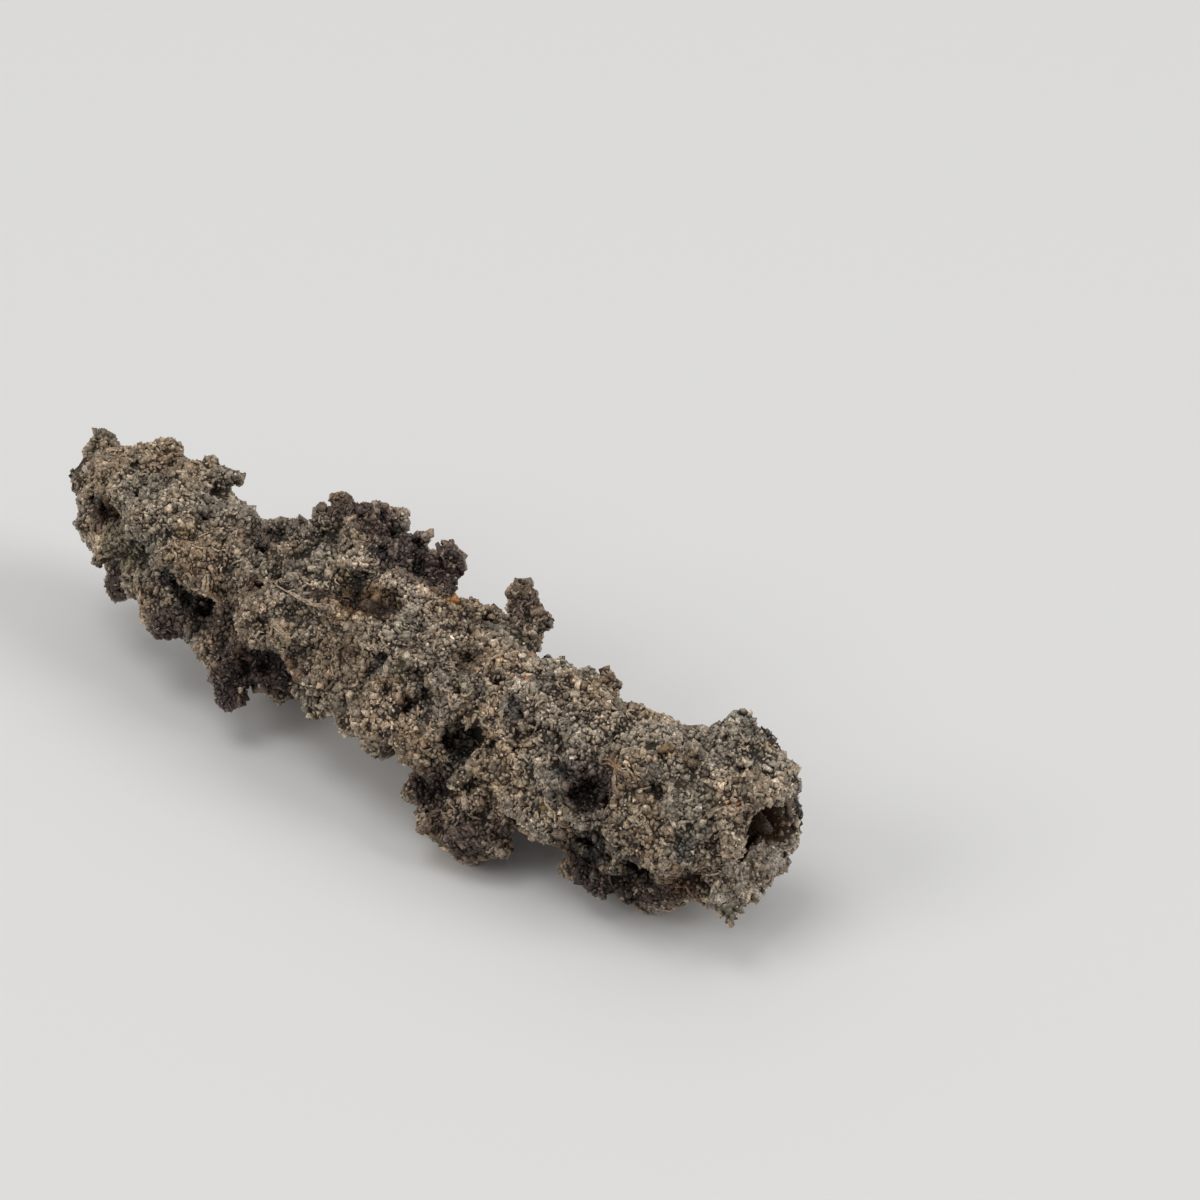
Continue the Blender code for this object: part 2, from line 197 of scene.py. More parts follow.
# Where no small lumps are added at random: x, y, z of the middle, reach, in mm.
PLAIN_SPOTS = {
    "spur": (5.6, 5.4, 11.8, 2.2),
    "beside post": (-12.5, -5.1, 5.5, 1.3),
    "far knob": (-14.5, -4.0, 4.7, 1.1),
    "post foot": (-12.2, -4.4, 3.6, 1.2),
    "ledge hem": (-8.0, -2.2, 2.4, 1.3),
    "ledge back": (-7.2, -0.4, 1.0, 1.3),
    "lower edge": (-0.8, -5.0, 5.3, 1.3),
    "ridge left": (-6.3, 6.5, 13.2, 1.3),
    "ridge": (-3.9, 6.0, 13.3, 1.3),
    "horn": (-28.1, 3.7, 11.5, 1.3),
    "far top": (-24.4, 2.9, 12.7, 1.3),
    "beside spur": (11.5, 4.6, 9.7, 1.3),
    "crest": (14.4, 3.2, 11.2, 1.1),
    "far left": (-26.4, -1.3, 8.5, 1.3),
    "far left foot": (-27.0, -0.7, 6.1, 1.3),
    "keel": (23.9, -4.0, 2.8, 1.3),
    "keel right": (25.9, -3.2, 3.5, 1.3),
    "knob back": (12.5, -1.9, 1.8, 1.5),
    "under belly": (16.3, -3.8, 3.5, 1.5),
}

# Stains in the fused sand: x, y, z of the middle, reach, in mm; colour; how strong it is. The
# black ones are painted shade in pits, holes, hollows and under the ledge, and those on the ledge's
# underside, the knob's top and the keel are partly purple-brown stain and partly painted shade.
STAINS = {
    "far tan": (-19.9, 2.5, 13.1, 3.2, "tan", 0.4),
    "far left tan": (-25.1, -0.8, 11.5, 3.0, "tan", 0.4),
    "far grey": (-21.0, 0.2, 12.2, 2.4, "greenish grey", 0.45),
    "far crest grey": (-16.5, 1.5, 12.2, 2.0, "greenish grey", 0.5),
    "horn": (-28.6, 2.8, 11.8, 1.9, "tan", 0.45),
    "far slit": (-23.9, -1.9, 10.1, 1.6, "dark brown", 0.85),
    "far slit brown": (-22.6, -1.7, 10.6, 1.5, "red brown", 0.6),
    "far front": (-21.5, -2.4, 8.6, 3.0, "olive", 0.35),
    "far foot": (-21.9, -3.1, 5.6, 2.2, "smoky", 0.75),
    "far knob": (-16.0, -4.4, 5.6, 2.1, "purple brown", 0.8),
    # Painted shade: black in the groove's pits.
    "groove": (-16.2, -3.3, 8.6, 1.3, "black", 0.75),
    "groove end": (-14.5, -3.1, 7.4, 1.5, "black", 0.8),
    # Painted shade: black in a pit.
    "far top pit": (-16.0, 0.0, 11.9, 0.8, "black", 0.9),
    "yellow speck": (-16.1, -1.8, 11.6, 0.7, "yellow", 0.7),
    "far belly": (-15.2, -1.6, 11.4, 2.6, "tan", 0.45),
    "brown fleck": (-14.3, -3.1, 10.4, 1.0, "brown", 0.7),
    "grey fleck": (-18.7, -2.6, 10.0, 1.6, "greenish grey", 0.5),
    "saddle": (-12.1, 1.3, 11.4, 1.7, "smoky", 0.75),
    # Painted shade: black in the saddle's pit and the step.
    "saddle pit": (-11.6, 0.6, 11.1, 0.8, "black", 0.9),
    "step": (-11.2, -3.2, 8.0, 1.5, "black", 0.75),
    "step brown": (-12.4, -2.5, 8.9, 1.2, "brown", 0.7),
    "shoulder": (-10.0, -2.2, 10.5, 1.1, "dark brown", 0.7),
    "post top": (-10.9, -4.1, 5.6, 1.6, "smoky", 0.6),
    "post side": (-9.2, -4.9, 4.4, 2.0, "purple brown", 0.85),
    "post foot": (-9.4, -5.8, 3.4, 1.6, "purple brown", 0.8),
    # Partly purple-brown stain and partly painted shade under the ledge.
    "ledge": (-8.6, -3.2, 5.6, 2.4, "purple brown", 0.95),
    "ledge end": (-6.5, -3.4, 5.0, 2.2, "purple brown", 0.9),
    "ledge fringe": (-8.6, -2.6, 3.2, 1.6, "red brown", 0.7),
    "tan mound": (-5.9, -4.0, 9.3, 1.9, "tan", 0.6),
    "green mound": (-7.6, 1.3, 12.1, 2.6, "greenish grey", 0.55),
    "ridge grey": (-6.9, 4.2, 13.6, 2.6, "smoky", 0.4),
    "ridge left": (-7.6, 4.7, 13.8, 2.3, "purple brown", 0.5),
    "ridge top": (-5.2, 4.8, 13.5, 2.3, "purple brown", 0.6),
    "ridge": (-3.1, 4.1, 13.1, 2.6, "purple brown", 0.75),
    "ridge middle": (-1.0, 3.6, 12.9, 2.4, "purple brown", 0.8),
    "ridge shoulder": (0.9, 4.3, 12.6, 2.6, "purple brown", 0.9),
    # Painted shade: black in the crease.
    "crease": (-3.7, 3.1, 12.8, 1.0, "black", 0.8),
    "crease foot": (-3.8, 0.9, 11.7, 1.0, "black", 0.7),
    "orange": (2.4, 2.9, 11.9, 0.9, "rust", 0.9),
    "valley": (-2.6, -0.2, 10.9, 2.3, "honey", 0.95),
    "valley right": (-0.9, 0.3, 11.3, 1.6, "honey", 0.85),
    "valley left": (-4.5, -1.2, 11.5, 1.3, "dark brown", 0.85),
    "valley middle": (-3.2, -0.2, 10.9, 0.9, "dark brown", 0.85),
    "valley deep": (-0.9, 0.2, 11.2, 1.3, "dark brown", 0.85),
    "spur": (6.3, 5.3, 11.9, 2.3, "smoky", 0.75),
    "spur tip": (5.7, 5.7, 13.0, 1.4, "brown", 0.5),
    "ring": (-0.6, -3.4, 10.2, 1.4, "brown", 0.7),
    "blue": (1.7, -3.4, 10.0, 1.2, "slate", 0.85),
    "olive flat": (3.5, -3.4, 10.6, 1.1, "olive", 0.7),
    "front tan": (0.5, -4.5, 8.4, 3.0, "tan", 0.35),
    "edge film": (-0.6, -5.2, 6.8, 1.3, "greenish grey", 0.6),
    # Painted shade: black in a pit.
    "small pit": (5.5, -3.8, 9.8, 0.8, "black", 0.85),
    "brown recess": (4.6, -4.2, 8.9, 1.0, "red brown", 0.8),
    "dark top": (6.5, -0.4, 11.1, 1.5, "brown", 0.7),
    # Painted shade: black in the side hole.
    "side hole": (8.9, -3.6, 7.5, 2.0, "black", 0.97),
    "side hole rim": (8.6, -4.1, 9.6, 1.2, "rust", 0.8),
    "lens": (11.5, -4.5, 9.0, 0.8, "brown", 0.8),
    "black spot": (12.0, -2.6, 10.7, 0.9, "slate", 0.8),
    "grey spot": (11.2, -2.3, 10.9, 0.9, "slate", 0.6),
    "top": (7.0, -1.5, 10.8, 4.5, "brown", 0.12),
    "front": (-1.5, -4.0, 9.0, 3.5, "brown", 0.1),
    "belly tan": (12.0, -4.9, 7.6, 2.6, "tan", 0.4),
    "yellow glass": (16.1, -5.1, 6.9, 0.9, "yellow", 0.55),
    "right pit": (16.5, -4.0, 9.5, 1.1, "slate", 0.9),
    # Painted shade: black in the front hollow.
    "front hollow": (18.3, -3.8, 8.2, 1.7, "black", 0.85),
    "front hollow edge": (18.9, -3.6, 8.9, 2.6, "purple brown", 0.6),
    "right foot": (17.0, -5.1, 8.1, 0.8, "slate", 0.8),
    "rust streak": (19.1, -2.6, 10.1, 0.7, "rust", 0.7),
    "rust streak end": (20.4, -3.3, 10.8, 0.8, "rust", 0.7),
    "grey patch": (22.5, -3.1, 11.6, 1.4, "slate", 0.45),
    "honey top": (22.1, -1.2, 11.8, 1.1, "honey", 0.6),
    "brown top": (23.9, -1.1, 12.0, 1.0, "brown", 0.6),
    "near top pale": (20.0, -0.5, 11.8, 4.2, "clear quartz", 0.4),
    "lobe green": (25.7, -3.1, 9.8, 2.2, "greenish grey", 0.6),
    "lobe purple": (25.9, -4.4, 8.1, 1.4, "slate", 0.6),
    "lobe front": (25.0, -5.2, 7.6, 1.5, "cream", 0.3),
    # Painted shade: black under the lobe and in the keel's hollow.
    "under lobe": (19.4, -5.0, 5.4, 1.9, "black", 0.85),
    "keel hollow": (22.9, -4.4, 4.8, 1.9, "black", 0.95),
    "keel left": (18.4, -4.8, 3.4, 1.8, "dark brown", 0.75),
    "keel foot": (21.2, -4.6, 2.2, 2.4, "smoky", 0.7),
    "keel brown": (23.6, -4.5, 3.5, 1.3, "red brown", 0.6),
    # Partly purple-brown stain and partly painted shade on the knob's top under the ledge.
    "knob neck": (7.6, -5.2, 4.6, 2.2, "purple brown", 0.85),
    "knob dark": (8.9, -5.6, 5.0, 1.4, "dark brown", 0.85),
    "knob": (11.2, -6.4, 3.0, 2.8, "smoky", 0.6),
    "knob right": (12.8, -5.4, 3.8, 1.4, "purple brown", 0.6),
    # Painted shade: black in the pit at the end.
    "end pit": (24.9, 1.3, 11.0, 0.6, "black", 0.9),
    "end pit right": (25.9, 1.6, 10.5, 0.8, "dark brown", 0.95),
    "open end": (24.1, 2.0, 11.5, 2.8, "pale glass", 0.3),
    "right lobe": (27.1, 3.6, 10.5, 1.6, "pale glass", 0.4),
    "front wall": (28.6, -2.0, 7.4, 1.8, "pale glass", 0.5),
    "end edge": (28.6, -2.0, 6.6, 1.5, "pale glass", 0.6),
    "end edge low": (27.8, -1.0, 4.8, 1.3, "pale glass", 0.6),
    "cavity": (26.6, 2.2, 6.4, 2.2, "red brown", 0.9),
    "cavity floor": (27.0, 1.6, 5.2, 1.1, "dark brown", 0.8),
    "end plate": (28.6, 1.3, 4.4, 2.9, "cream", 0.8),
    "end plate low": (28.4, -1.6, 4.2, 2.0, "cream", 0.6),
    "end spike": (28.6, -3.4, 4.7, 1.8, "greenish grey", 0.8),
    "spike gap": (27.0, -3.6, 5.4, 0.6, "dark brown", 0.8),
    "post": (-9.7, -5.2, 4.8, 2.2, "purple brown", 0.8),
    "post high": (-9.9, -4.3, 6.3, 1.4, "dark brown", 0.7),
    # Painted shade: black on the ledge's underside.
    "ledge roof": (-7.6, -3.4, 6.3, 1.7, "black", 0.7),
    "ledge right": (-5.3, -4.0, 6.6, 1.5, "red brown", 0.7),
    # Partly purple-brown stain and partly painted shade on the knob's top under the ledge.
    "knob upper": (6.6, -5.3, 4.0, 1.7, "purple brown", 0.9),
    "knob middle": (8.3, -5.5, 4.3, 1.7, "purple brown", 0.85),
    "knob front": (9.0, -7.1, 3.4, 1.1, "dark brown", 0.75),
    "knob foot": (11.2, -7.2, 2.3, 1.8, "purple brown", 0.6),
    # Partly dark stain and partly painted shade on the keel under the overhang.
    "keel low": (19.6, -4.6, 3.1, 2.2, "purple brown", 0.85),
    "keel lower": (21.8, -4.6, 3.2, 2.2, "dark brown", 0.9),
    "keel back": (24.2, -4.6, 3.9, 1.9, "dark brown", 0.85),
    "keel right": (25.6, -3.8, 4.9, 1.5, "red brown", 0.7),
    "keel start": (18.0, -4.8, 4.2, 1.7, "dark brown", 0.8),
    "far foot low": (-22.1, -3.2, 5.4, 1.6, "smoky", 0.8),
    "groove upper": (-17.4, -3.5, 8.0, 1.5, "smoky", 0.35),
    "groove low": (-14.2, -3.0, 7.0, 1.7, "dark brown", 0.85),
    "step low": (-12.4, -3.4, 7.0, 1.5, "purple brown", 0.7),
    "front dark": (18.6, -3.6, 8.8, 2.2, "purple brown", 0.7),
}

# Bare melted glass, where few grains sit: x, y, z of the middle, reach, in mm; how bare it is.
GLASSY = {
    "spike": (28.8, -3.5, 4.4, 1.5, 0.9),
    "plate": (28.4, 1.4, 4.8, 2.1, 0.8),
    "valley": (-2.2, -0.1, 10.9, 1.6, 0.55),
    "side hole": (8.9, -3.8, 7.6, 1.6, 1.0),
    "side hole top": (8.7, -4.2, 9.3, 1.2, 1.0),
    "keel hollow": (22.9, -4.4, 4.8, 1.3, 0.6),
    "cavity": (26.6, 2.2, 6.2, 2.0, 0.95),
    "side flake": (28.1, 4.0, 7.4, 1.2, 0.9),
    "orange": (2.4, 2.9, 11.9, 0.7, 0.8),
    "edge film": (-0.6, -5.2, 6.8, 1.1, 0.7),
    "olive flat": (3.5, -3.4, 10.6, 0.8, 0.6),
    "tan mound": (-5.9, -4.0, 9.3, 1.2, 0.4),
    "left flake": (-25.5, -1.8, 8.3, 0.9, 0.8),
    "yellow glass": (16.1, -5.1, 6.9, 0.7, 0.6),
}

# Single grains that stand out: x, y, z, width, in mm; colour.
MARKED_GRAINS = {
    "orange": (27.6, -1.2, 10.4, 0.35, (0.33, 0.12, 0.04)),
    "white": (29.0, -2.9, 8.9, 0.4, (0.72, 0.67, 0.60)),
    "amber": (2.5, 2.8, 11.9, 0.6, (0.45, 0.19, 0.04)),
    "copper": (11.5, -0.9, 12.1, 0.5, (0.50, 0.17, 0.05)),
    "yellow": (-16.0, -1.8, 11.6, 0.45, (0.50, 0.30, 0.08)),
    "pale": (25.7, -2.8, 10.1, 0.45, (0.62, 0.58, 0.50)),
    "gold": (22.2, -1.2, 11.8, 0.4, (0.42, 0.26, 0.08)),
    # Painted highlights: the two glint grains are pale grains put where the glass glints.
    "glint": (27.7, 1.9, 5.2, 0.4, (0.88, 0.83, 0.75)),
    "glint beside": (28.1, 2.0, 5.2, 0.3, (0.88, 0.83, 0.75)),
}

# Sheets of glass at the open end: the points of the foot, those of the rim, x, y, z in mm; the
# thickness; the colour; the share of its corners that hold a grain of sand.
SHEETS = {
    "top rim": (
        (
            (22.9, 3.2, 11.2), (24.2, 3.1, 11.0), (25.5, 3.1, 10.3),
            (26.6, 3.0, 9.7), (27.2, 3.3, 9.0),
        ),
        (
            (23.4, 4.0, 12.3), (24.3, 4.3, 12.6), (25.7, 4.3, 11.7),
            (26.9, 4.3, 10.9), (27.5, 4.4, 9.8),
        ),
        0.3,
        "pale glass",
        0.12,
    ),
    "side flake": (
        ((28.0, 2.6, 8.6), (28.2, 2.9, 7.4), (28.1, 3.3, 6.2)),
        ((27.9, 4.1, 8.3), (27.9, 4.7, 7.3), (27.7, 4.6, 6.3)),
        0.35,
        "amber glass",
        0.03,
    ),
    "lower plate": (
        (
            (26.5, 3.6, 5.6), (26.6, 2.2, 5.3), (26.9, 0.6, 5.0),
            (27.3, -1.0, 4.7), (27.6, -2.4, 4.7),
        ),
        (
            (28.5, 4.1, 5.3), (29.4, 2.2, 5.1), (29.3, 0.7, 4.5),
            (29.0, -0.9, 3.7), (29.1, -2.6, 4.0),
        ),
        0.45,
        "warm glass",
        0.1,
    ),
    "spike": (
        ((27.4, -2.9, 5.8), (27.2, -3.3, 4.8), (27.3, -3.4, 4.0)),
        ((28.9, -3.1, 5.0), (29.3, -3.3, 4.3), (29.1, -3.8, 3.6)),
        0.5,
        "warm glass",
        0.04,
    ),
}

# Threads of drawn glass on the crust: the points each passes over, x, y, z in mm; width.
THREADS = {
    "shoulder": (((-9.6, -2.2, 10.6), (-9.0, -1.5, 10.8), (-7.5, -2.2, 11.6)), 0.16),
    "ledge": (
        ((-7.5, -2.2, 11.6), (-6.4, -2.3, 11.5), (-5.1, -2.5, 11.3), (-3.5, -2.4, 11.7)),
        0.15,
    ),
    "step": (((-13.4, -2.9, 10.0), (-13.3, -3.3, 9.2), (-12.4, -3.2, 8.4)), 0.22),
    "mound": (((-6.9, -3.6, 9.9), (-6.0, -4.1, 9.9), (-5.0, -4.1, 9.4), (-4.9, -4.3, 8.6)), 0.18),
    "rust": (((18.6, -2.4, 9.9), (19.3, -2.6, 10.2), (20.3, -3.2, 10.9), (21.4, -3.8, 11.4)), 0.16),
}


# The named threads: the strands in each, how far apart they lie, and the points along a strand.
STRANDS = 4
STRAND_GAP = 0.16  # mm
STRAND_POINTS = 30

# The short curls: how many, their lengths and widths, how far they turn, the points along one, and
# what their starts keep from the bore and the floor.
CURLS = 800
CURL_LENGTHS = (0.5, 1.2)  # mm
CURL_WIDTHS = (0.14, 0.24)  # mm
CURL_TURNS = (0.5, 3.0)  # radians
CURL_POINTS = 12
CURL_BORE_GAP = 0.8  # mm
CURL_FLOOR_GAP = 1.0  # mm
THREAD_SIDES = 6

# Lumps at random places: how many are tried, their radii and stretches outwards, what they keep
# from the bore, the floor and the sides of the solid's box, and, as shares of the radius, how deep
# a lump's middle is sunk and how far its tip is taken to stand out.
NUBS_TRIED = 340
NUB_RADII = (0.3, 0.62)  # mm
NUB_STRETCHES = (0.7, 1.15)
NUB_BORE_GAP = 1.2  # mm
NUB_FLOOR_GAP = 1.0  # mm
NUB_BOX_GAP = 0.2  # mm
NUB_SUNK = 0.35
NUB_TIP = 0.6

# The relief: how steeply lumps rise from the creases between them, how much they fall away from
# their middles, the level that is left where it was, the width of the clouds that make some lumps
# taller, the width of the noise that places gas pits, and where on it a pit begins and its slope.
LUMP_RISE = 1.15
LUMP_FALL = 0.6
LUMP_LEVEL = 0.65
CLOUD_WIDTH = 2.4  # mm
GAS_WIDTH = 1.05  # mm
GAS_FROM, GAS_SLOPE = 0.60, 0.12

BALL_SUBDIVISIONS = 2  # of the balls that cut pits and make lumps
WELD = 0.001  # mm, within which the solid's corners are one
OUTWARD_REACH = 1.6  # mm, over which the direction outwards is a mean

# The crust: the rounds of easing after the remesh, how near the bore it is calmer, and the lowest
# that it may reach.
CRUST_EASING = 3
CALM_REACH = 0.9  # mm
CRUST_FLOOR = 0.02  # mm

# How hollow a place is, for the painted shade in pits and creases: the rounds of easing it is
# compared with, and the depth that counts as 1.
HOLLOW_EASING = 14
HOLLOW_DEPTH = 0.16  # mm

STAIN_RAG = 0.9  # mm, the width of the unevenness of a stain's edge
STAIN_GAIN = 1.5  # so that a stain is whole over its middle and fades near its reach

# The share of the crust's edges whose two ends may not both hold a grain.
EDGE_SHARE = 0.5

# A grain's block: how far its corners reach along each axis for a half width of 1, the spread of
# its stretches, how uneven its corners are, the lowest that they may reach, and its sides.
BLOCK_REACH = 0.72
BLOCK_STRETCH = 0.37
BLOCK_UNEVEN = 0.2
BLOCK_FLOOR = 0.015  # mm
BLOCK_SIDES = ((0, 1, 3, 2), (4, 6, 7, 5), (0, 4, 5, 1), (2, 3, 7, 6), (0, 2, 6, 4), (1, 5, 7, 3))

# Grains: their pieces, their least and greatest widths as shares of the usual one, how far they
# are moved at random, the least height of a middle as a share of the width, and how high up a
# grain, in half widths, the painted shade on its lower sides begins and ends.
SAND_PIECES = ("sand_a", "sand_b", "sand_c", "sand_d", "sand_e")
GRAIN_WIDTHS = (0.5, 1.8)
GRAIN_SHIFT = 0.035  # mm
GRAIN_HEIGHT = 0.55
GRAIN_SHADE_RISE = (-0.12, 0.86)

# No grain sits within this of the bore's wall, inside this of the stone's middle along X, where
# it could not be seen, nor lower than this.
SEALED_GAP = 0.7  # mm
SEALED_REACH = 21  # mm
SEAT_FLOOR = 0.1  # mm

# Shares of grains that glint and that take up stains poorly, and a marked grain's gloss.
GLINTING = 0.22
GLINTS = (0.5, 1.0)
CLEAN_GRAINS = 0.2
MARKED_GLOSS = 0.5

# Kinds of sand: the share of each in the mixture, and how much it leans to a grey drift.
SAND_KINDS = {
    "clear quartz": (0.16, 0.2),
    "grey quartz": (0.26, 1.2),
    "cream": (0.17, -0.4),
    "tan": (0.16, -1.3),
    "brown": (0.11, -0.8),
    "rust": (0.01, -1.0),
    "smoky": (0.13, 0.2),
}

# The shared colours of sand that drifted together, tan and grey; how much of a grain's colour is
# its drift's and how much its kind's; the brightness of all, and the spread of its log.
DRIFTS = ((0.272, 0.195, 0.126), (0.24, 0.20, 0.153))
DRIFT_PART, KIND_PART = 0.55, 0.45
SAND_BRIGHTNESS = 1.47
SAND_BRIGHTNESS_SPREAD = 0.3

# A glass sheet: its points along and across, the widths of the notches in its rim and of its
# crinkles, how deep a notch is as a share of the sheet, the crinkles' height, and how much thinner
# the rim is than the foot.
SHEET_GRID = (44, 14)
NOTCH_WIDTH = 1.1  # mm
NOTCH_DEPTH = 0.25
CRINKLE_WIDTH = 0.8  # mm
CRINKLE_HEIGHT = 0.7  # mm
RIM_THINNED = 0.75

# The bore's lining: its points along and round, its ends, how far from the middle its edges begin
# to be ragged and over what length, how ragged they are, and what it stands off the bore's wall.
LINING_GRID = (80, 40)
LINING_ENDS = (-26.4, 26.6)  # mm
RAG_FROM, RAG_OVER = 24.0, 3.0  # mm
RAG_DEPTH = 2.6  # mm
LINING_GAP = 0.05  # mm


def length(name, description, default, **limits):
    """A length, whose default is in mm."""
    return bpy.props.FloatProperty(
        name=name,
        description=description,
        default=default * MM,
        unit="LENGTH",
        precision=5,
        **limits,
    )


def factor(name, description, default, least=0, most=1):
    return bpy.props.FloatProperty(
        name=name, description=description, default=default, subtype="FACTOR", min=least, max=most
    )


def strength(name, description, default):
    return bpy.props.FloatProperty(name=name, description=description, default=default, min=0)


def colour(name, description, default):
    """A linear colour."""
    return bpy.props.FloatVectorProperty(
        name=name, description=description, default=default, subtype="COLOR", min=0, max=1
    )


def seed_number(description, default):
    return bpy.props.IntProperty(name="Seed", description=description, default=default)


class FulguriteCrust(bpy.types.PropertyGroup):
    """Sizes of the fused crust."""

    cell: length("Cell", "Width of the crust's faces", 0.215, min=0.15 * MM)
    nodule_width: length("Nodule width", "Width of the lumps that the grains clump into", 1.3)
    nodule_height: length("Nodule height", "How far the lumps stand out", 0.4)
    grit_width: length("Grit width", "Width of the small unevenness between lumps", 0.55)
    grit_height: length("Grit height", "Height of the small unevenness", 0.2)
    pit_depth: length("Pit depth", "Depth of the scattered gas pits", 0.55)
    melt_colour: colour("Melt", "Colour of the melt between the grains", (0.034, 0.021, 0.013))
    seed: seed_number("Changes the random relief", 7)


class FulguriteSand(bpy.types.PropertyGroup):
    """Sizes and mixture of the sand grains."""

    width: length("Grain width", "Usual width of a grain", 0.3)
    spread: factor("Spread", "How unlike each other the grains' widths are", 0.26)
    sunk: factor(
        "Sunk",
        "How deep a grain's middle sits in the crust, as a share of its width",
        0.12,
        least=-0.5,
        most=0.5,
    )
    # Foot: how bright the painted shade leaves a grain's lowest corners.
    foot: factor("Foot", "Brightness of a grain's foot, where dark melt wets it", 0.07)
    seed: seed_number("Changes every random draw", 11)


class FulguriteGlass(bpy.types.PropertyGroup):
    """Sizes and clearness of the melted glass."""

    thickness: length("Thickness", "Thickness of the glass lining", 0.12)
    clear: factor("Clear", "How clear the sheets round the open end are", 0.25)
    thread_lift: length("Thread lift", "How far the threads lie over the crust", 0.17)
    seed: seed_number("Changes the random threads", 23)


class FulguriteStage(bpy.types.PropertyGroup):
    """The surface and the light."""

    table_colour: colour("Table", "Colour of the surface", (0.80, 0.80, 0.80))
    sky: strength("Sky", "Brightness of the light from all round", 0.43)
    horizon: factor("Horizon", "How bright the light from the sides is, as a share", 0.25)
    lamps: strength("Lamps", "Multiplies the strength of every soft light", 1.0)


# ---------------------------------------------------------------- noise


def cell_random(cells, seed):
    """One number from 0 to 1 for each whole-numbered cell.

    The cell's three numbers and the seed are each multiplied by a large odd number and combined
    bit by bit, and the bits are then mixed by a shift, a product and another shift.
    """
    factors = np.array((73856093, 19349663, 83492791), np.int64)
    mixed = cells.astype(np.int64) * factors
    mixed = mixed[..., 0] ^ mixed[..., 1] ^ mixed[..., 2] ^ np.int64(seed * 2654435761 % 2**31)
    mixed = mixed.astype(np.uint64) & np.uint64(0xFFFFFFFF)
    mixed = ((mixed ^ (mixed >> np.uint64(13))) * np.uint64(1274126177)) & np.uint64(0xFFFFFFFF)
    mixed ^= mixed >> np.uint64(16)
    return mixed / float(0xFFFFFFFF)


def smooth(share):
    """0 below 0, 1 above 1, and 3s² - 2s³ between."""
    share = np.clip(share, 0.0, 1.0)
    return share * share * (3.0 - 2.0 * share)


def cloud(points, width, seed, layers=2):
    """Soft noise from 0 to 1 with bumps about `width` apart.

    Random numbers stand at the corners of a cubic lattice and are blended between them by smooth
    steps. Each further layer has half the width and half the height of the one before.
    """
    total, height = 0.0, 0.0
    for layer in range(layers):
        place = points / (width / 2**layer) + 17.3 * layer
        corner = np.floor(place)
        share = smooth(place - corner)
        value = 0.0
        for step in np.ndindex(2, 2, 2):
            weight = np.prod(np.where(step, share, 1.0 - share), axis=-1)
            value = value + weight * cell_random(corner + step, seed + layer)
        total = total + value / 2**layer
        height += 1 / 2**layer
    return total / height


def scattered(points, width, seed):
    """Distances to the nearest and second nearest of points scattered one to a cell of `width`.

    They are given as shares of the width. Each cell's point is at a random place in it, and the
    27 cells round each given point are tried.
    """
    place = points / width
    home = np.floor(place)
    first = np.full(len(points), 9.0)
    second = first.copy()
    for step in np.ndindex(3, 3, 3):
        cell = home + step - 1
        spot = np.stack([cell_random(cell, seed + axis) for axis in range(3)], axis=-1)
        away = np.linalg.norm(cell + spot - place, axis=-1)
        second = np.minimum(second, np.maximum(first, away))
        first = np.minimum(first, away)
    return first, second


# ---------------------------------------------------------------- meshes


def read(items, name, width, kind=np.float32):
    """A property of every item as an array, `width` numbers to a row."""
    found = np.empty(len(items) * width, kind)
    items.foreach_get(name, found)
    return found.reshape(-1, width) if width > 1 else found


def new_object(name, data):
    obj = bpy.data.objects.new(name, data)
    bpy.context.scene.collection.objects.link(obj)
    return obj


def faces_mesh(name, points, faces, smooth_shaded=True):
    """A mesh from arrays of points and of faces that all have the same number of corners."""
    mesh = bpy.data.meshes.new(name)
    corners = faces.shape[1]
    mesh.vertices.add(len(points))
    mesh.vertices.foreach_set("co", points.astype(np.float32).ravel())
    mesh.loops.add(faces.size)
    mesh.loops.foreach_set("vertex_index", faces.astype(np.int32).ravel())
    mesh.polygons.add(len(faces))
    mesh.polygons.foreach_set("loop_start", np.arange(0, faces.size, corners, dtype=np.int32))
    mesh.update(calc_edges=True)
    mesh.polygons.foreach_set("use_smooth", np.full(len(faces), smooth_shaded))
    return mesh


def store(mesh, name, values):
    """Keeps a number or a colour for each vertex, for the material to read."""
    if values.ndim == 1:
        layer = mesh.attributes.new(name, "FLOAT", "POINT")
        layer.data.foreach_set("value", values.astype(np.float32))
        return
    layer = mesh.attributes.new(name, "FLOAT_COLOR", "POINT")
    rows = np.concatenate([values, np.ones((len(values), 1))], axis=1)
    layer.data.foreach_set("color", rows.astype(np.float32).ravel())


def neighbour_mean(values, edges):
    """The mean of each vertex's neighbours, summed over both ends of every edge."""
    ends = np.concatenate([edges[:, 0], edges[:, 1]])
    others = np.concatenate([edges[:, 1], edges[:, 0]])
    count = np.maximum(np.bincount(ends, minlength=len(values)), 1)
    if values.ndim == 1:
        return np.bincount(ends, values[others], len(values)) / count
    columns = [np.bincount(ends, column[others], len(values)) / count for column in values.T]
    return np.stack(columns, axis=1)


def eased(values, edges, times, share=0.5):
    """Moves each vertex's value part of the way to its neighbours' mean, several times."""
    for _ in range(times):
        values = values + share * (neighbour_mean(values, edges) - values)
    return values


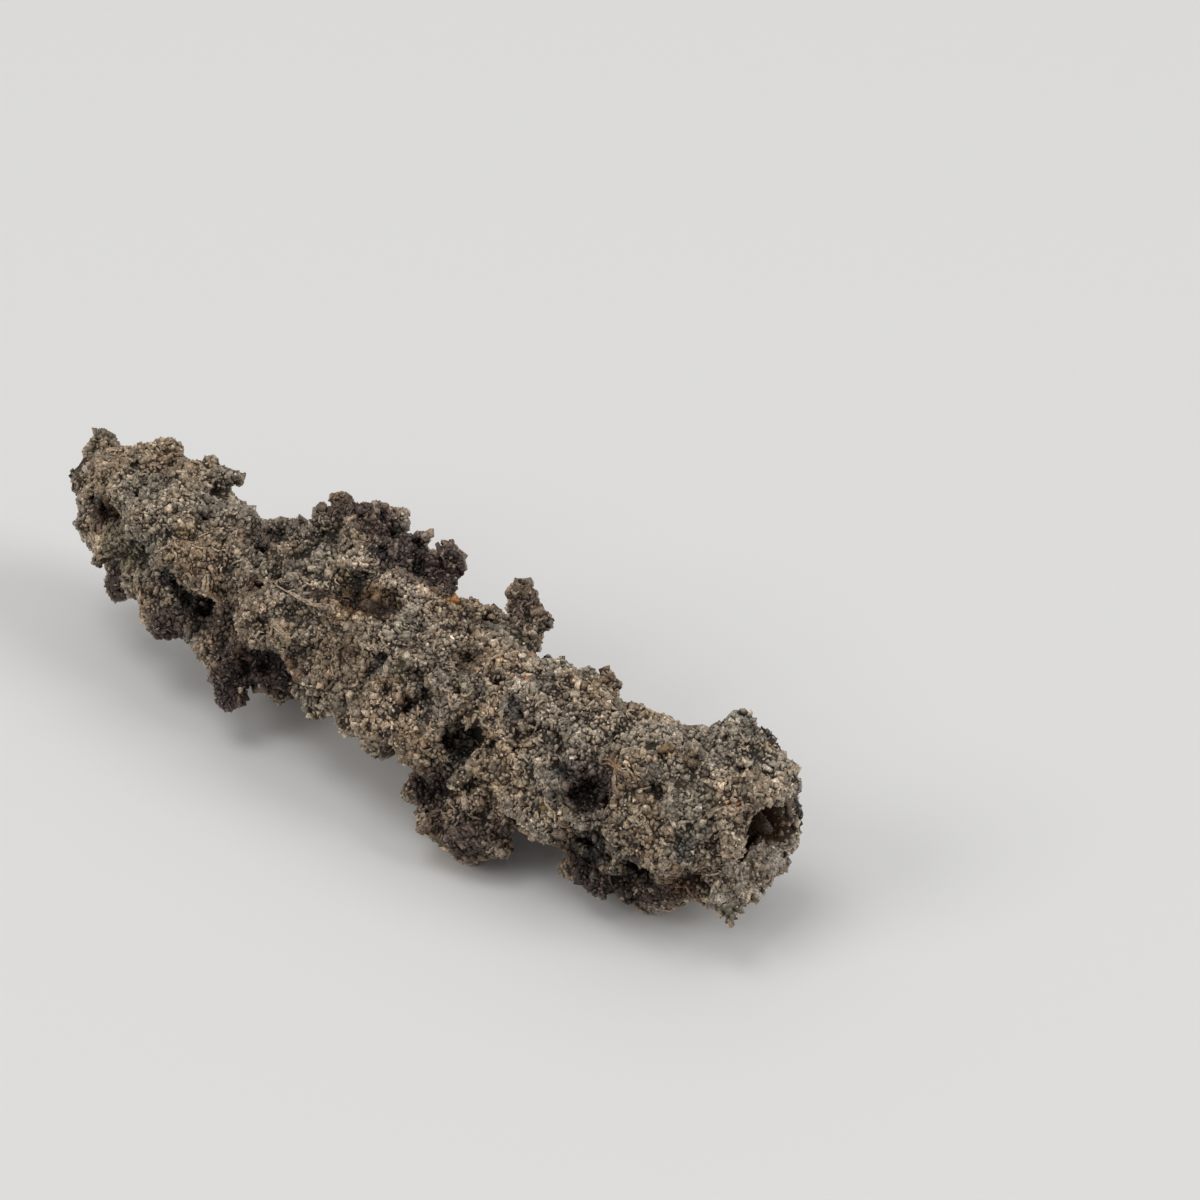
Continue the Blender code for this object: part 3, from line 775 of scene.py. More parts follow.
def spaced_out(edges, count, random):
    """True for as many vertices as fit with no edge between any two of them.

    In each round every vertex still free that holds a greater random number than all its free
    neighbours is kept, and its neighbours are no longer free.
    """
    score = random.random(count)
    free = np.ones(count, bool)
    kept = np.zeros(count, bool)
    while free.any():
        standing = np.where(free, score, -1.0)
        rival = np.full(count, -1.0)
        np.maximum.at(rival, edges[:, 0], standing[edges[:, 1]])
        np.maximum.at(rival, edges[:, 1], standing[edges[:, 0]])
        won = free & (standing > rival)
        kept |= won
        beside = np.zeros(count, bool)
        beside[edges[won[edges[:, 0]], 1]] = True
        beside[edges[won[edges[:, 1]], 0]] = True
        free &= ~(won | beside)
    return kept


def bore_gap(points):
    """How far each point is outside the bore's wall, in metres, below 0 inside it."""
    x = points[:, 0] / MM
    y, z, radius = (np.interp(x, BORE[:, 0], BORE[:, column]) for column in (1, 2, 3))
    return (np.hypot(points[:, 1] / MM - y, points[:, 2] / MM - z) - radius) * MM


def near(points, patch):
    """1 at the middle of a patch, falling smoothly to 0 at its reach."""
    away = np.linalg.norm(points - np.array(patch[:3]) * MM, axis=1)
    return smooth(1.0 - away / (patch[3] * MM))


def stained(points, colours, seed, hold, tone):
    """The colours with every stain laid over them, each with a ragged edge.

    Where a stain's share is s, a colour c becomes c^(1 - s) stain^s. Hold is how much of each
    stain a point takes up, and tone what the stain's colour is multiplied by.
    """
    ragged = 0.55 + 0.9 * cloud(points, STAIN_RAG * MM, seed, 3)
    logs = np.log(np.maximum(colours, 1e-4))
    dimmed = np.log(tone)[:, None]
    for *patch, kind, depth in STAINS.values():
        share = np.clip(near(points, patch) * STAIN_GAIN * ragged, 0, 1) * depth * hold
        logs = logs + share[:, None] * (np.log(COLOURS[kind]) + dimmed - logs)
    return np.exp(logs)


def bareness(points):
    """How bare the glass is at each point, from 0 to 1."""
    bare = np.zeros(len(points))
    for *patch, most in GLASSY.values():
        bare = np.maximum(bare, near(points, patch) ** 0.5 * most)
    return bare


# ---------------------------------------------------------------- materials


class Socket:
    """A node's output, with Python's operators turned into Math nodes."""

    def __init__(self, paint, output):
        self.paint = paint
        self.output = output

    def maths(self, operation, first, second):
        return self.paint.node("Math", {"operation": operation}, {0: first, 1: second})

    def __sub__(self, other):
        return self.maths("SUBTRACT", self, other)

    def __rsub__(self, other):
        return self.maths("SUBTRACT", other, self)

    def __mul__(self, other):
        return self.maths("MULTIPLY", self, other)

    __rmul__ = __mul__


class Paint:
    """A material under construction."""

    def __init__(self, name):
        self.material = bpy.data.materials.new(name)
        self.material.use_nodes = True
        self.tree = self.material.node_tree
        self.shader = self.tree.nodes["Principled BSDF"]

    def node(self, kind, settings=None, inputs=None, output=0):
        """Makes a node: its type, its settings, then the values or links of its sockets."""
        made = self.tree.nodes.new("ShaderNode" + kind)
        for name, value in (settings or {}).items():
            if name == "stops":
                self.fill_ramp(made.color_ramp, value)
            else:
                setattr(made, name, value)
        for name, value in (inputs or {}).items():
            self.feed(made.inputs[name], value)
        return Socket(self, made.outputs[output])

    def feed(self, socket, value):
        if isinstance(value, Socket):
            self.tree.links.new(value.output, socket)
        else:
            socket.default_value = value

    @staticmethod
    def fill_ramp(ramp, stops):
        while len(ramp.elements) < len(stops):
            ramp.elements.new(1.0)
        for element, (place, brightness) in zip(ramp.elements, stops):
            element.position = place
            element.color = (brightness, brightness, brightness, 1.0)

    def set(self, **inputs):
        """Feeds the shader's sockets; an underscore in a name stands for a space."""
        for name, value in inputs.items():
            self.feed(self.shader.inputs[name.replace("_", " ")], value)
        return self.material

    def attribute(self, name, output=0):
        return self.node("Attribute", {"attribute_name": name}, output=output)

    def noise(self, size, detail):
        """Noise in the object's own place, with bumps about `size` metres wide."""
        place = self.node("TexCoord", output="Object")
        return self.node(
            "TexNoise",
            inputs={"Vector": place, "Scale": 1 / size, "Detail": detail, "Roughness": 0.55},
        )

    def cells(self, size):
        """The distance to the nearest of points scattered about `size` metres apart."""
        place = self.node("TexCoord", output="Object")
        return self.node("TexVoronoi", inputs={"Vector": place, "Scale": 1 / size})

    def ramp(self, value, *stops):
        """Turns a value into a brightness. Each stop is a value and its brightness."""
        return self.node("ValToRGB", {"stops": stops}, {"Fac": value})

    def product(self, first, second):
        """Two colours multiplied together."""
        settings = {"data_type": "RGBA", "blend_type": "MULTIPLY"}
        return self.node("Mix", settings, {0: 1.0, 6: first, 7: second}, output=2)

    def bump(self, height, distance, hardness, under=None):
        """A bump of a height in metres, laid over another bump if one is given."""
        inputs = {"Height": height, "Distance": distance, "Strength": hardness}
        if under:
            inputs["Normal"] = under
        return self.node("Bump", inputs=inputs)


def crust_paint():
    """The melt between the grains: mottled dark glass, glossy where it is bare."""
    paint = Paint("fused_crust")
    bare = paint.attribute("bare", output=2)
    mottle = paint.ramp(paint.noise(0.7 * MM, detail=4.0), (0.32, 0.55), (0.68, 1.35))
    glints = paint.ramp(paint.noise(0.16 * MM, detail=2.0), (0.4, 0.0), (0.62, 1.0))
    grit = paint.noise(0.09 * MM, detail=3.0)
    # The stain attribute holds the melt's stains together with painted shade in pits, creases and
    # other recesses.
    return paint.set(
        Base_Color=paint.product(paint.attribute("stain"), mottle),
        Roughness=0.62 - 0.34 * bare - 0.12 * glints,
        Normal=paint.bump(grit, 0.03 * MM, hardness=0.6),
        Specular_IOR_Level=0.3,
        Coat_Weight=bare * 0.35,
        Coat_Roughness=0.12,
    )


def grain_paint(name, roughness, coat):
    """Worn quartz: each grain's own tint, clouded inside, with a frosted skin."""
    paint = Paint(name)
    clouding = paint.ramp(paint.noise(0.14 * MM, detail=2.0), (0.36, 0.55), (0.64, 1.45))
    gloss = paint.attribute("gloss", output=2)
    frost = paint.noise(0.06 * MM, detail=2.0)
    # A grain's tint carries painted shade: darker on its lower sides and in hollows.
    return paint.set(
        Base_Color=paint.product(paint.attribute("tint"), clouding),
        Roughness=roughness - 0.3 * gloss,
        Normal=paint.bump(frost, 0.012 * MM, hardness=0.5),
        Specular_IOR_Level=0.3,
        Coat_Weight=gloss * coat,
        Coat_Roughness=0.08,
    )


def glass_paint(name, clear):
    """Melted glass: streaked along its flow, with small bubbles, and more or less clear."""
    paint = Paint(name)
    streak = paint.ramp(paint.noise(0.5 * MM, detail=4.0), (0.3, 0.35), (0.7, 1.5))
    flecks = paint.ramp(paint.noise(0.13 * MM, detail=2.0), (0.38, 0.5), (0.62, 1.5))
    streaked = paint.product(paint.attribute("tint"), streak)
    bubbles = paint.ramp(paint.cells(0.35 * MM), (0.1, 0.0), (0.35, 1.0))
    bubbled = paint.bump(bubbles, 0.05 * MM, hardness=0.7)
    chips = paint.noise(0.14 * MM, detail=3.0)
    return paint.set(
        Base_Color=paint.product(streaked, flecks),
        Roughness=0.26,
        Normal=paint.bump(chips, 0.1 * MM, hardness=1.0, under=bubbled),
        Coat_Weight=0.35,
        Coat_Roughness=0.06,
        Transmission_Weight=clear,
    )


def table_paint(shade):
    """A plain pale satin surface."""
    return Paint("table").set(Base_Color=(*shade, 1.0), Roughness=0.45)


# ---------------------------------------------------------------- pieces


def unit_ball():
    """The corners of a ball of radius 1 and its faces, facing out."""
    shape = bmesh.new()
    bmesh.ops.create_icosphere(shape, subdivisions=BALL_SUBDIVISIONS, radius=1.0)
    corners = np.array([vertex.co for vertex in shape.verts])
    faces = np.array([[vertex.index for vertex in face.verts] for face in shape.faces])
    shape.free()
    return corners, faces


def joined(corners, faces):
    """One mesh's arrays from many copies of a shape: corners is copies x corners x 3."""
    first = np.arange(len(corners))[:, None, None] * corners.shape[1]
    return corners.reshape(-1, 3), (faces[None] + first).reshape(-1, faces.shape[1])


def stretched_balls(centres, radii, directions, stretch):
    """Balls at the centres, each stretched along its own direction.

    A corner b of a unit ball becomes centre + radius (b + (stretch - 1) (b . direction) direction).
    """
    ball, faces = unit_ball()
    along = (ball @ directions.T).T[:, :, None] * directions[:, None, :]
    shapes = ball[None] + (stretch - 1.0)[:, None, None] * along
    return joined(centres[:, None, :] + radii[:, None, None] * shapes, faces)


def facing(places, points, normals, reach):
    """The stone's direction outwards at each place: the mean normal of what is within reach."""
    weights = smooth(1.0 - np.linalg.norm(places[:, None] - points[None], axis=2) / reach)
    weights += 1e-9
    mean = weights @ normals
    return mean / np.linalg.norm(mean, axis=1, keepdims=True)


def evaluated(obj):
    """The object's mesh with its modifiers applied, and the object removed."""
    graph = bpy.context.evaluated_depsgraph_get()
    mesh = bpy.data.meshes.new_from_object(obj.evaluated_get(graph))
    bpy.data.objects.remove(obj)
    return mesh


def face_places(mesh):
    """The middles, directions and areas of a mesh's faces."""
    centres = read(mesh.polygons, "center", 3).astype(float)
    normals = read(mesh.polygons, "normal", 3).astype(float)
    return centres, normals, read(mesh.polygons, "area", 1).astype(float)


def corner_places(mesh):
    """The places and directions of a mesh's corners."""
    points = read(mesh.vertices, "co", 3).astype(float)
    return points, read(mesh.vertex_normals, "vector", 3).astype(float)


def move_corners(mesh, points):
    mesh.vertices.foreach_set("co", points.astype(np.float32).ravel())
    mesh.update()


def table_rows(table):
    return np.array(list(table.values()), float)


def loose_nubs(centres, normals, areas, settings):
    """Small lumps at random places on the skin, away from the named pits and the plain spots.

    It gives their middles, radii, directions and stretches.
    """
    random = np.random.default_rng(settings.seed + 1)
    outside = (bore_gap(centres) > NUB_BORE_GAP * MM) & (centres[:, 2] > NUB_FLOOR_GAP * MM)
    share = np.where(outside, areas, 0.0)
    chosen = random.choice(len(centres), NUBS_TRIED, p=share / share.sum())
    places, out = centres[chosen], normals[chosen]
    radii = random.uniform(*NUB_RADII, NUBS_TRIED) * MM
    spots = np.concatenate([table_rows(PITS)[:, :4], table_rows(PLAIN_SPOTS)])
    away = np.linalg.norm(places[:, None] - spots[None, :, :3] * MM, axis=2)
    clear = np.all(away > spots[:, 3] * MM + radii[:, None], axis=1)
    low, high = (np.array(corner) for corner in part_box(STONE))
    tip = places + out * radii[:, None] * NUB_TIP
    clear &= np.all((tip > low + NUB_BOX_GAP * MM) & (tip < high - NUB_BOX_GAP * MM), axis=1)
    stretch = random.uniform(*NUB_STRETCHES, NUBS_TRIED)
    places, radii, out = places[clear], radii[clear], out[clear]
    return places - out * (NUB_SUNK * radii)[:, None], radii, out, stretch[clear]


def carved(settings):
    """A copy of the stone's solid with its pits cut and nubs added, remeshed to even squares.

    The copy's loose triangles are welded first. The pits are stretched balls cut out by a Boolean,
    the nubs are stretched balls left overlapping, and the remesh makes one skin of it all.
    """
    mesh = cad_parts[STONE].data.copy()
    mesh.materials.clear()
    shape = bmesh.new()
    shape.from_mesh(mesh)
    bmesh.ops.remove_doubles(shape, verts=shape.verts, dist=WELD * MM)
    shape.to_mesh(mesh)
    shape.free()
    centres, normals, areas = face_places(mesh)
    loose = loose_nubs(centres, normals, areas, settings)

    pits = table_rows(PITS) * MM
    out = facing(pits[:, :3], centres, normals, OUTWARD_REACH * MM)
    balls = stretched_balls(pits[:, :3], pits[:, 3], out, pits[:, 4] / pits[:, 3])
    cutter = new_object("pits", faces_mesh("pits", *balls))
    stone = new_object("rough_copy", mesh)
    cut = stone.modifiers.new("cut", "BOOLEAN")
    cut.operation = "DIFFERENCE"
    cut.solver = "EXACT"
    cut.use_self = True
    cut.object = cutter
    mesh = evaluated(stone)
    bpy.data.objects.remove(cutter)

    nubs = table_rows(NUBS)
    out = facing(nubs[:, :3] * MM, centres, normals, OUTWARD_REACH * MM)
    named = (nubs[:, :3] * MM, nubs[:, 3] * MM, out, nubs[:, 4])
    balls = [np.concatenate(pair) for pair in zip(named, loose)]
    shape = bmesh.new()
    shape.from_mesh(mesh)
    shape.from_mesh(faces_mesh("nubs", *stretched_balls(*balls)))
    shape.to_mesh(mesh)
    shape.free()
    stone = new_object("rough_copy", mesh)
    even = stone.modifiers.new("even", "REMESH")
    even.mode = "VOXEL"
    even.voxel_size = settings.cell
    mesh = evaluated(stone)
    mesh.name = "fused_crust"
    return mesh


def relief(points, sizes):
    """Height of the crust over the solid, in metres.

    Lumps are highest at the middle of scattered cells and fall to creases between them. Small
    unevenness is added, and gas pits are sunk where a wide noise passes a limit.
    """
    first, second = scattered(points, sizes.nodule_width, sizes.seed)
    lump = smooth(LUMP_RISE * (second - first)) * (1.0 - LUMP_FALL * first)
    lump = lump * (0.5 + cloud(points, CLOUD_WIDTH * MM, sizes.seed + 5))
    grit = cloud(points, sizes.grit_width, sizes.seed + 20)
    pit = smooth((cloud(points, GAS_WIDTH * MM, sizes.seed + 40) - GAS_FROM) / GAS_SLOPE)
    return (
        sizes.nodule_height * (lump - LUMP_LEVEL)
        + sizes.grit_height * (grit - 0.5)
        - sizes.pit_depth * pit
    )


def crust(settings):
    """The skin of the stone: each vertex of the carved solid, moved along its normal.

    The relief is lower near the bore, on bare glass and close to the floor.
    """
    mesh = carved(settings)
    edges = read(mesh.edges, "vertices", 2, np.int32)
    points = eased(read(mesh.vertices, "co", 3).astype(float), edges, CRUST_EASING)
    move_corners(mesh, points)
    _, normals = corner_places(mesh)
    inside = smooth(1.0 - bore_gap(points) / (CALM_REACH * MM))
    calm = (1.0 - 0.75 * inside) * (1.0 - 0.6 * bareness(points))
    off_floor = smooth((points[:, 2] - 0.15 * MM) / (0.8 * MM))
    height = eased(relief(points, settings) * calm * (0.25 + 0.75 * off_floor), edges, 1)
    points = points + normals * height[:, None]
    points[:, 2] = np.maximum(points[:, 2], CRUST_FLOOR * MM)
    mesh.polygons.foreach_set("use_smooth", np.ones(len(mesh.polygons), bool))
    move_corners(mesh, eased(points, edges, 1, 0.3))
    return mesh


def hollow(points, normals, edges):
    """How hollow the surface is at each vertex, from 0 on ridges and flats to 1 in pits."""
    wide = eased(points, edges, HOLLOW_EASING)
    return smooth(np.sum((wide - points) * normals, axis=1) / (HOLLOW_DEPTH * MM))


def seats(mesh, random):
    """Where grains may sit: the crust's corners and the middles of its faces.

    It gives their places, normals and hollowness, and the links between seats too close to both
    hold a grain: each middle with its four corners, and a share of the corners along an edge.
    """
    points, normals = corner_places(mesh)
    edges = read(mesh.edges, "vertices", 2, np.int32)
    deep = hollow(points, normals, edges)
    squares = read(mesh.loops, "vertex_index", 1, np.int32).reshape(-1, 4)
    middles = np.arange(len(squares))[:, None] + len(points)
    across = np.stack([np.broadcast_to(middles, squares.shape).ravel(), squares.ravel()], axis=1)
    links = np.concatenate([across, edges[random.random(len(edges)) < EDGE_SHARE]])
    normals = np.concatenate([normals, normals[squares].mean(axis=1)])
    normals /= np.maximum(np.linalg.norm(normals, axis=1, keepdims=True), 1e-9)
    points = np.concatenate([points, points[squares].mean(axis=1)])
    return points, normals, np.concatenate([deep, deep[squares].mean(axis=1)]), links


def turns(random, count):
    """Random rotation matrices: unit four-vectors of normal numbers, read as quaternions."""
    w, x, y, z = random.normal(size=(count, 4)).T
    size = np.sqrt(w * w + x * x + y * y + z * z)
    w, x, y, z = w / size, x / size, y / size, z / size
    rows = (
        (1 - 2 * (y * y + z * z), 2 * (x * y - z * w), 2 * (x * z + y * w)),
        (2 * (x * y + z * w), 1 - 2 * (x * x + z * z), 2 * (y * z - x * w)),
        (2 * (x * z - y * w), 2 * (y * z + x * w), 1 - 2 * (x * x + y * y)),
    )
    return np.stack([np.stack(row, axis=-1) for row in rows], axis=1)


def grain_shapes(centres, widths, out, random):
    """Grains as worn, uneven blocks of 8 corners and 6 sides.

    A corner's distance from the middle is the grain's half width times a random stretch along
    each of three axes and a random number of its own, and the block is turned at random. Each
    corner's rise, its height over the middle as a share of the half width, is given too.
    """
    corners = (np.array(list(np.ndindex(2, 2, 2)), float) * 2.0 - 1.0) * BLOCK_REACH
    count = len(centres)
    stretch = np.exp(random.normal(0.0, BLOCK_STRETCH, (count, 1, 3)))
    own = 1.0 + random.uniform(-BLOCK_UNEVEN, BLOCK_UNEVEN, (count, len(corners), 1))
    shapes = corners[None] * stretch * own
    shapes = np.einsum("nij,nkj->nki", turns(random, count), shapes)
    rise = np.einsum("nki,ni->nk", shapes, out)
    shapes = shapes * (widths[:, None, None] / 2) + centres[:, None, :]
    shapes[..., 2] = np.maximum(shapes[..., 2], BLOCK_FLOOR * MM)
    return *joined(shapes, np.array(BLOCK_SIDES)), rise


def mixture(points, random, seed):
    """A colour for each grain: mostly its drift's own grey or tan, and partly its own kind."""
    shares, lean = np.array(list(SAND_KINDS.values())).T.copy()
    drift = cloud(points, 3.0 * MM, seed)[:, None]
    weights = shares * np.exp(lean * (drift - 0.5) * 4.0)
    steps = np.cumsum(weights, axis=1) / weights.sum(axis=1, keepdims=True)
    draw = (random.random((len(points), 1)) > steps).sum(axis=1).clip(0, len(SAND_KINDS) - 1)
    own = np.array([COLOURS[kind] for kind in SAND_KINDS])[draw]
    tan, grey = np.array(DRIFTS)
    shared = tan + smooth((drift - 0.3) / 0.4) * (grey - tan)
    tone = 0.72 + 0.56 * smooth((cloud(points, 1.7 * MM, seed + 4) - 0.25) / 0.5)
    colours = (DRIFT_PART * shared + KIND_PART * own) * tone[:, None] * SAND_BRIGHTNESS
    return colours * np.exp(random.normal(0.0, SAND_BRIGHTNESS_SPREAD, (len(points), 1)))


def stone_piece(name, mesh, material):
    """Makes the mesh a piece of the stone and on its body."""
    mesh.materials.append(material)
    obj = new_object(name, mesh)
    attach(obj, BODY)
    return obj


def two_sided(front, back, closed=False):
    """The points and faces of a closed skin over two grids, joined along their borders."""
    count = front.shape[0] * front.shape[1]
    number = np.arange(count).reshape(front.shape[:2])
    if closed:
        number = np.concatenate([number, number[:, :1]], axis=1)
    corners = (number[:-1, :-1], number[:-1, 1:], number[1:, 1:], number[1:, :-1])
    sheet = np.stack(corners, axis=-1).reshape(-1, 4)
    borders = [number[0], number[-1]] + ([] if closed else [number[:, 0], number[:, -1]])
    strips = [
        np.stack([line[:-1], line[1:], line[1:] + count, line[:-1] + count], axis=-1)
        for line in borders
    ]
    points = np.concatenate([front.reshape(-1, 3), back.reshape(-1, 3)])
    return points, np.concatenate([sheet, sheet + count, *strips])


def outward_mesh(name, points, faces):
    """A mesh of closed forms with every face turned to face out."""
    mesh = faces_mesh(name, points, faces)
    shape = bmesh.new()
    shape.from_mesh(mesh)
    bmesh.ops.recalc_face_normals(shape, faces=shape.faces)
    shape.to_mesh(mesh)
    shape.free()
    return mesh


def line_at(points, share):
    """Points at the shares from 0 to 1 along a bent line, rounded at its bends."""
    points = np.array(points, float)
    steps = np.concatenate([[0.0], np.cumsum(np.linalg.norm(np.diff(points, axis=0), axis=1))])
    even = np.linspace(0.0, 1.0, 61)
    fine = np.stack([np.interp(even, steps / steps[-1], column) for column in points.T], axis=1)
    for _ in range(30):
        fine[1:-1] = (fine[:-2] + 2 * fine[1:-1] + fine[2:]) / 4
    return np.stack([np.interp(share, even, column) for column in fine.T], axis=1)


def unit(vectors):
    return vectors / np.maximum(np.linalg.norm(vectors, axis=-1, keepdims=True), 1e-12)


def glass_sheet(foot, rim, thickness):
    """A thin crinkled sheet of glass from a foot line to a rim line.

    At u along the lines and v from foot to rim, the middle is (1 - w) foot(u) + w rim(u), where
    w = v (1 - 0.25 n(u)) and n is noise, so the rim is ragged. Noise moves it across the sheet,
    and its two sides stand half the thickness away, a quarter of that at the rim.
    """
    u, v = (np.linspace(0.0, 1.0, count) for count in SHEET_GRID)
    lines = [line_at(line, u) * MM for line in (foot, rim)]
    ragged = smooth((cloud(lines[1], NOTCH_WIDTH * MM, 71) - 0.3) / 0.5)
    w = (v[None, :] * (1.0 - NOTCH_DEPTH * ragged[:, None]))[..., None]
    middle = (1.0 - w) * lines[0][:, None] + w * lines[1][:, None]
    across = unit(np.cross(np.gradient(middle, axis=0), np.gradient(middle, axis=1)))
    wave = cloud(middle.reshape(-1, 3), CRINKLE_WIDTH * MM, 72, 4).reshape(SHEET_GRID)
    middle = middle + across * ((wave - 0.5) * CRINKLE_HEIGHT * MM)[..., None]
    half = across * (thickness * MM / 2 * (1.0 - RIM_THINNED * v))[None, :, None]
    return two_sided(middle + half, middle - half)


def sheet_seats(random):
    """Places and normals on the glass sheets where grains have stuck."""
    places, normals = [], []
    for *sheet, _, share in SHEETS.values():
        mesh = outward_mesh("sheet", *glass_sheet(*sheet))
        chosen = random.random(len(mesh.vertices)) < share
        points, out = corner_places(mesh)
        places.append(points[chosen])
        normals.append(out[chosen])
        bpy.data.meshes.remove(mesh)
    return np.concatenate(places), np.concatenate(normals)


class FULGURITE_OT_crust(bpy.types.Operator):
    """Builds the fused crust in place of the plain solid"""

    bl_idname = "fulgurite.crust"
    bl_label = "Fused Crust"

    def execute(self, context):
        settings = context.scene.fulgurite_crust
        mesh = crust(settings)
        edges = read(mesh.edges, "vertices", 2, np.int32)
        points, normals = corner_places(mesh)
        drift = cloud(points, 3.5 * MM, settings.seed + 60)[:, None]
        colours = np.array(settings.melt_colour) * (0.7 + 0.6 * drift)
        bare = np.maximum(bareness(points), 0.7 * smooth(1.0 - bore_gap(points) / (0.5 * MM)))
        colours = colours + 0.6 * bare[:, None] * (np.array(COLOURS["honey"]) - colours)
        tone = 0.35 + 0.55 * bare  # the melt is darker than the grains with the same stain
        colours = stained(points, colours, settings.seed + 80, 1.0, tone)
        # Painted shade: the melt's colour is darkened in pits and creases by how hollow they are,
        # and kept with the stains.
        deep = hollow(points, normals, edges)
        store(mesh, "stain", colours * (1.0 - 0.55 * deep[:, None]))
        store(mesh, "bare", bare)
        obj = stone_piece("fused_crust", mesh, crust_paint())
        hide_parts(STONE)
        return {"FINISHED"}


class FULGURITE_OT_sand(bpy.types.Operator):
    """Sets the grains of sand in the crust"""

    bl_idname = "fulgurite.sand"
    bl_label = "Sand Grains"

    def execute(self, context):
        settings = context.scene.fulgurite_sand
        random = np.random.default_rng(settings.seed)
        mesh = bpy.data.objects["fused_crust"].data
        points, normals, deep, links = seats(mesh, random)
        kept = spaced_out(links, len(points), random)
        gap = bore_gap(points)
        sealed = (gap < SEALED_GAP * MM) & (np.abs(points[:, 0]) < SEALED_REACH * MM)
        bare = np.maximum(bareness(points), 0.8 * smooth(1.0 - gap / (0.5 * MM)))
        kept &= ~sealed & (random.random(len(points)) > bare)
        kept &= points[:, 2] > SEAT_FLOOR * MM
        stuck, stuck_out = sheet_seats(random)
        points = np.concatenate([points[kept], stuck])
        normals = np.concatenate([normals[kept], stuck_out])
        deep = np.concatenate([deep[kept], np.zeros(len(stuck))])
        count = len(points)
        widths = settings.width * np.exp(random.normal(0.0, settings.spread, count))
        least, most = GRAIN_WIDTHS
        widths = np.clip(widths, least * settings.width, most * settings.width)
        centres = points - normals * (widths * settings.sunk)[:, None]
        centres += random.normal(0.0, GRAIN_SHIFT * MM, centres.shape)
        centres[:, 2] = np.maximum(centres[:, 2], GRAIN_HEIGHT * widths)
        colours = mixture(points, random, settings.seed + 3)
        takes = 1.0 - 0.3 * random.random(count) ** 2 - 0.6 * (random.random(count) < CLEAN_GRAINS)
        colours = stained(points, colours, settings.seed + 9, takes, np.ones(count))
        # Painted shade: grains in pits and creases are darkened by how hollow their seats are.
        colours *= (1.0 - 0.7 * deep)[:, None]
        gloss = (random.random(count) < GLINTING) * random.uniform(*GLINTS, count)
        for *place, width, own in MARKED_GRAINS.values():
            nearest = np.argmin(np.linalg.norm(points - np.array(place) * MM, axis=1))
            colours[nearest] = own
            widths[nearest] = width * MM
            gloss[nearest] = MARKED_GLOSS
        lots = random.integers(0, len(SAND_PIECES), count)
        paint = grain_paint("quartz_sand", roughness=0.5, coat=0.6)
        # Painted shade on each grain's lower sides: a corner is darker the lower it rises over the
        # grain's middle.
        dark_to, bright_from = GRAIN_SHADE_RISE
        for lot, name in enumerate(SAND_PIECES):
            chosen = lots == lot
            shapes, faces, rise = grain_shapes(
                centres[chosen], widths[chosen], normals[chosen], random
            )
            grains = faces_mesh(name, shapes, faces)
            share = smooth((rise - dark_to) / (bright_from - dark_to))
            lower_side_shade = settings.foot + (1.0 - settings.foot) * share
            tints = colours[chosen][:, None, :] * lower_side_shade[..., None]
            store(grains, "tint", tints.reshape(-1, 3))
            store(grains, "gloss", np.repeat(gloss[chosen], rise.shape[1]))
            stone_piece(name, grains, paint)
        return {"FINISHED"}


def bore_lining(thickness):
    """A rippled tube along the bore, with a wall.

    At u along the bore and v round it, the radius is the bore's radius less a little, times one
    plus ripples from noise. The ends are cut to a ragged line: x is moved by noise in v.
    """
    along, round_it = LINING_GRID
    u = np.linspace(*LINING_ENDS, along)[:, None]
    v = np.linspace(0.0, 2 * math.pi, round_it, endpoint=False)[None, :]
    y, z, radius = (np.interp(u, BORE[:, 0], BORE[:, column]) for column in (1, 2, 3))
    ends = smooth((np.abs(u) - RAG_FROM) / RAG_OVER)
    circle = np.stack([np.cos(v) * 2.0, np.sin(v) * 2.0, v * 0], axis=-1)[0] * MM
    shift = (cloud(circle, 0.9 * MM, 5)[None, :] - 0.5) * RAG_DEPTH * ends * np.sign(u)

    def rings(reach):
        return np.stack([u + shift, y + reach * np.cos(v), z + reach * np.sin(v)], axis=-1)

    sides = []
    for wall in (0.0, thickness / MM):
        reach = radius - LINING_GAP - wall
        wave = cloud(rings(reach).reshape(-1, 3) * MM, 0.9 * MM, 31, 3).reshape(LINING_GRID)
        sides.append(rings(reach * (0.86 + 0.3 * wave)) * MM)
    return outward_mesh("bore_glass", *two_sided(*sides, closed=True))


def crust_tree(points):
    """A tree for finding the crust's vertex nearest to a place."""
    tree = KDTree(len(points))
    for number, point in enumerate(points):
        tree.insert(point, number)
    tree.balance()
    return tree


def curls(points, normals, random):
    """Lines of random threads: each starts on the crust and turns steadily as it runs along it.

    With the crust's two tangents a and b at the start, the heading at s along the thread is k s,
    and the line is the sum of steps cos(heading) a + sin(heading) b.
    """
    start = random.choice(len(points), CURLS)
    a = unit(np.cross(normals[start], unit(random.normal(size=(CURLS, 3)))))
    b = np.cross(normals[start], a)
    s = np.linspace(0.0, 1.0, CURL_POINTS)[None, :]
    heading = random.uniform(*CURL_TURNS, (CURLS, 1)) * s * random.choice((-1, 1), (CURLS, 1))
    step = random.uniform(*CURL_LENGTHS, (CURLS, 1, 1)) * MM / CURL_POINTS
    steps = np.cos(heading)[..., None] * a[:, None] + np.sin(heading)[..., None] * b[:, None]
    lines = points[start][:, None] + np.cumsum(steps, axis=1) * step
    return lines, random.uniform(*CURL_WIDTHS, CURLS) * MM


def eased_lines(lines):
    """Lines rounded at their bends, with their ends left where they are."""
    for _ in range(4):
        inner = (lines[:, :-2] + 2 * lines[:, 1:-1] + lines[:, 2:]) / 4
        lines = np.concatenate([lines[:, :1], inner, lines[:, -1:]], axis=1)
    return lines


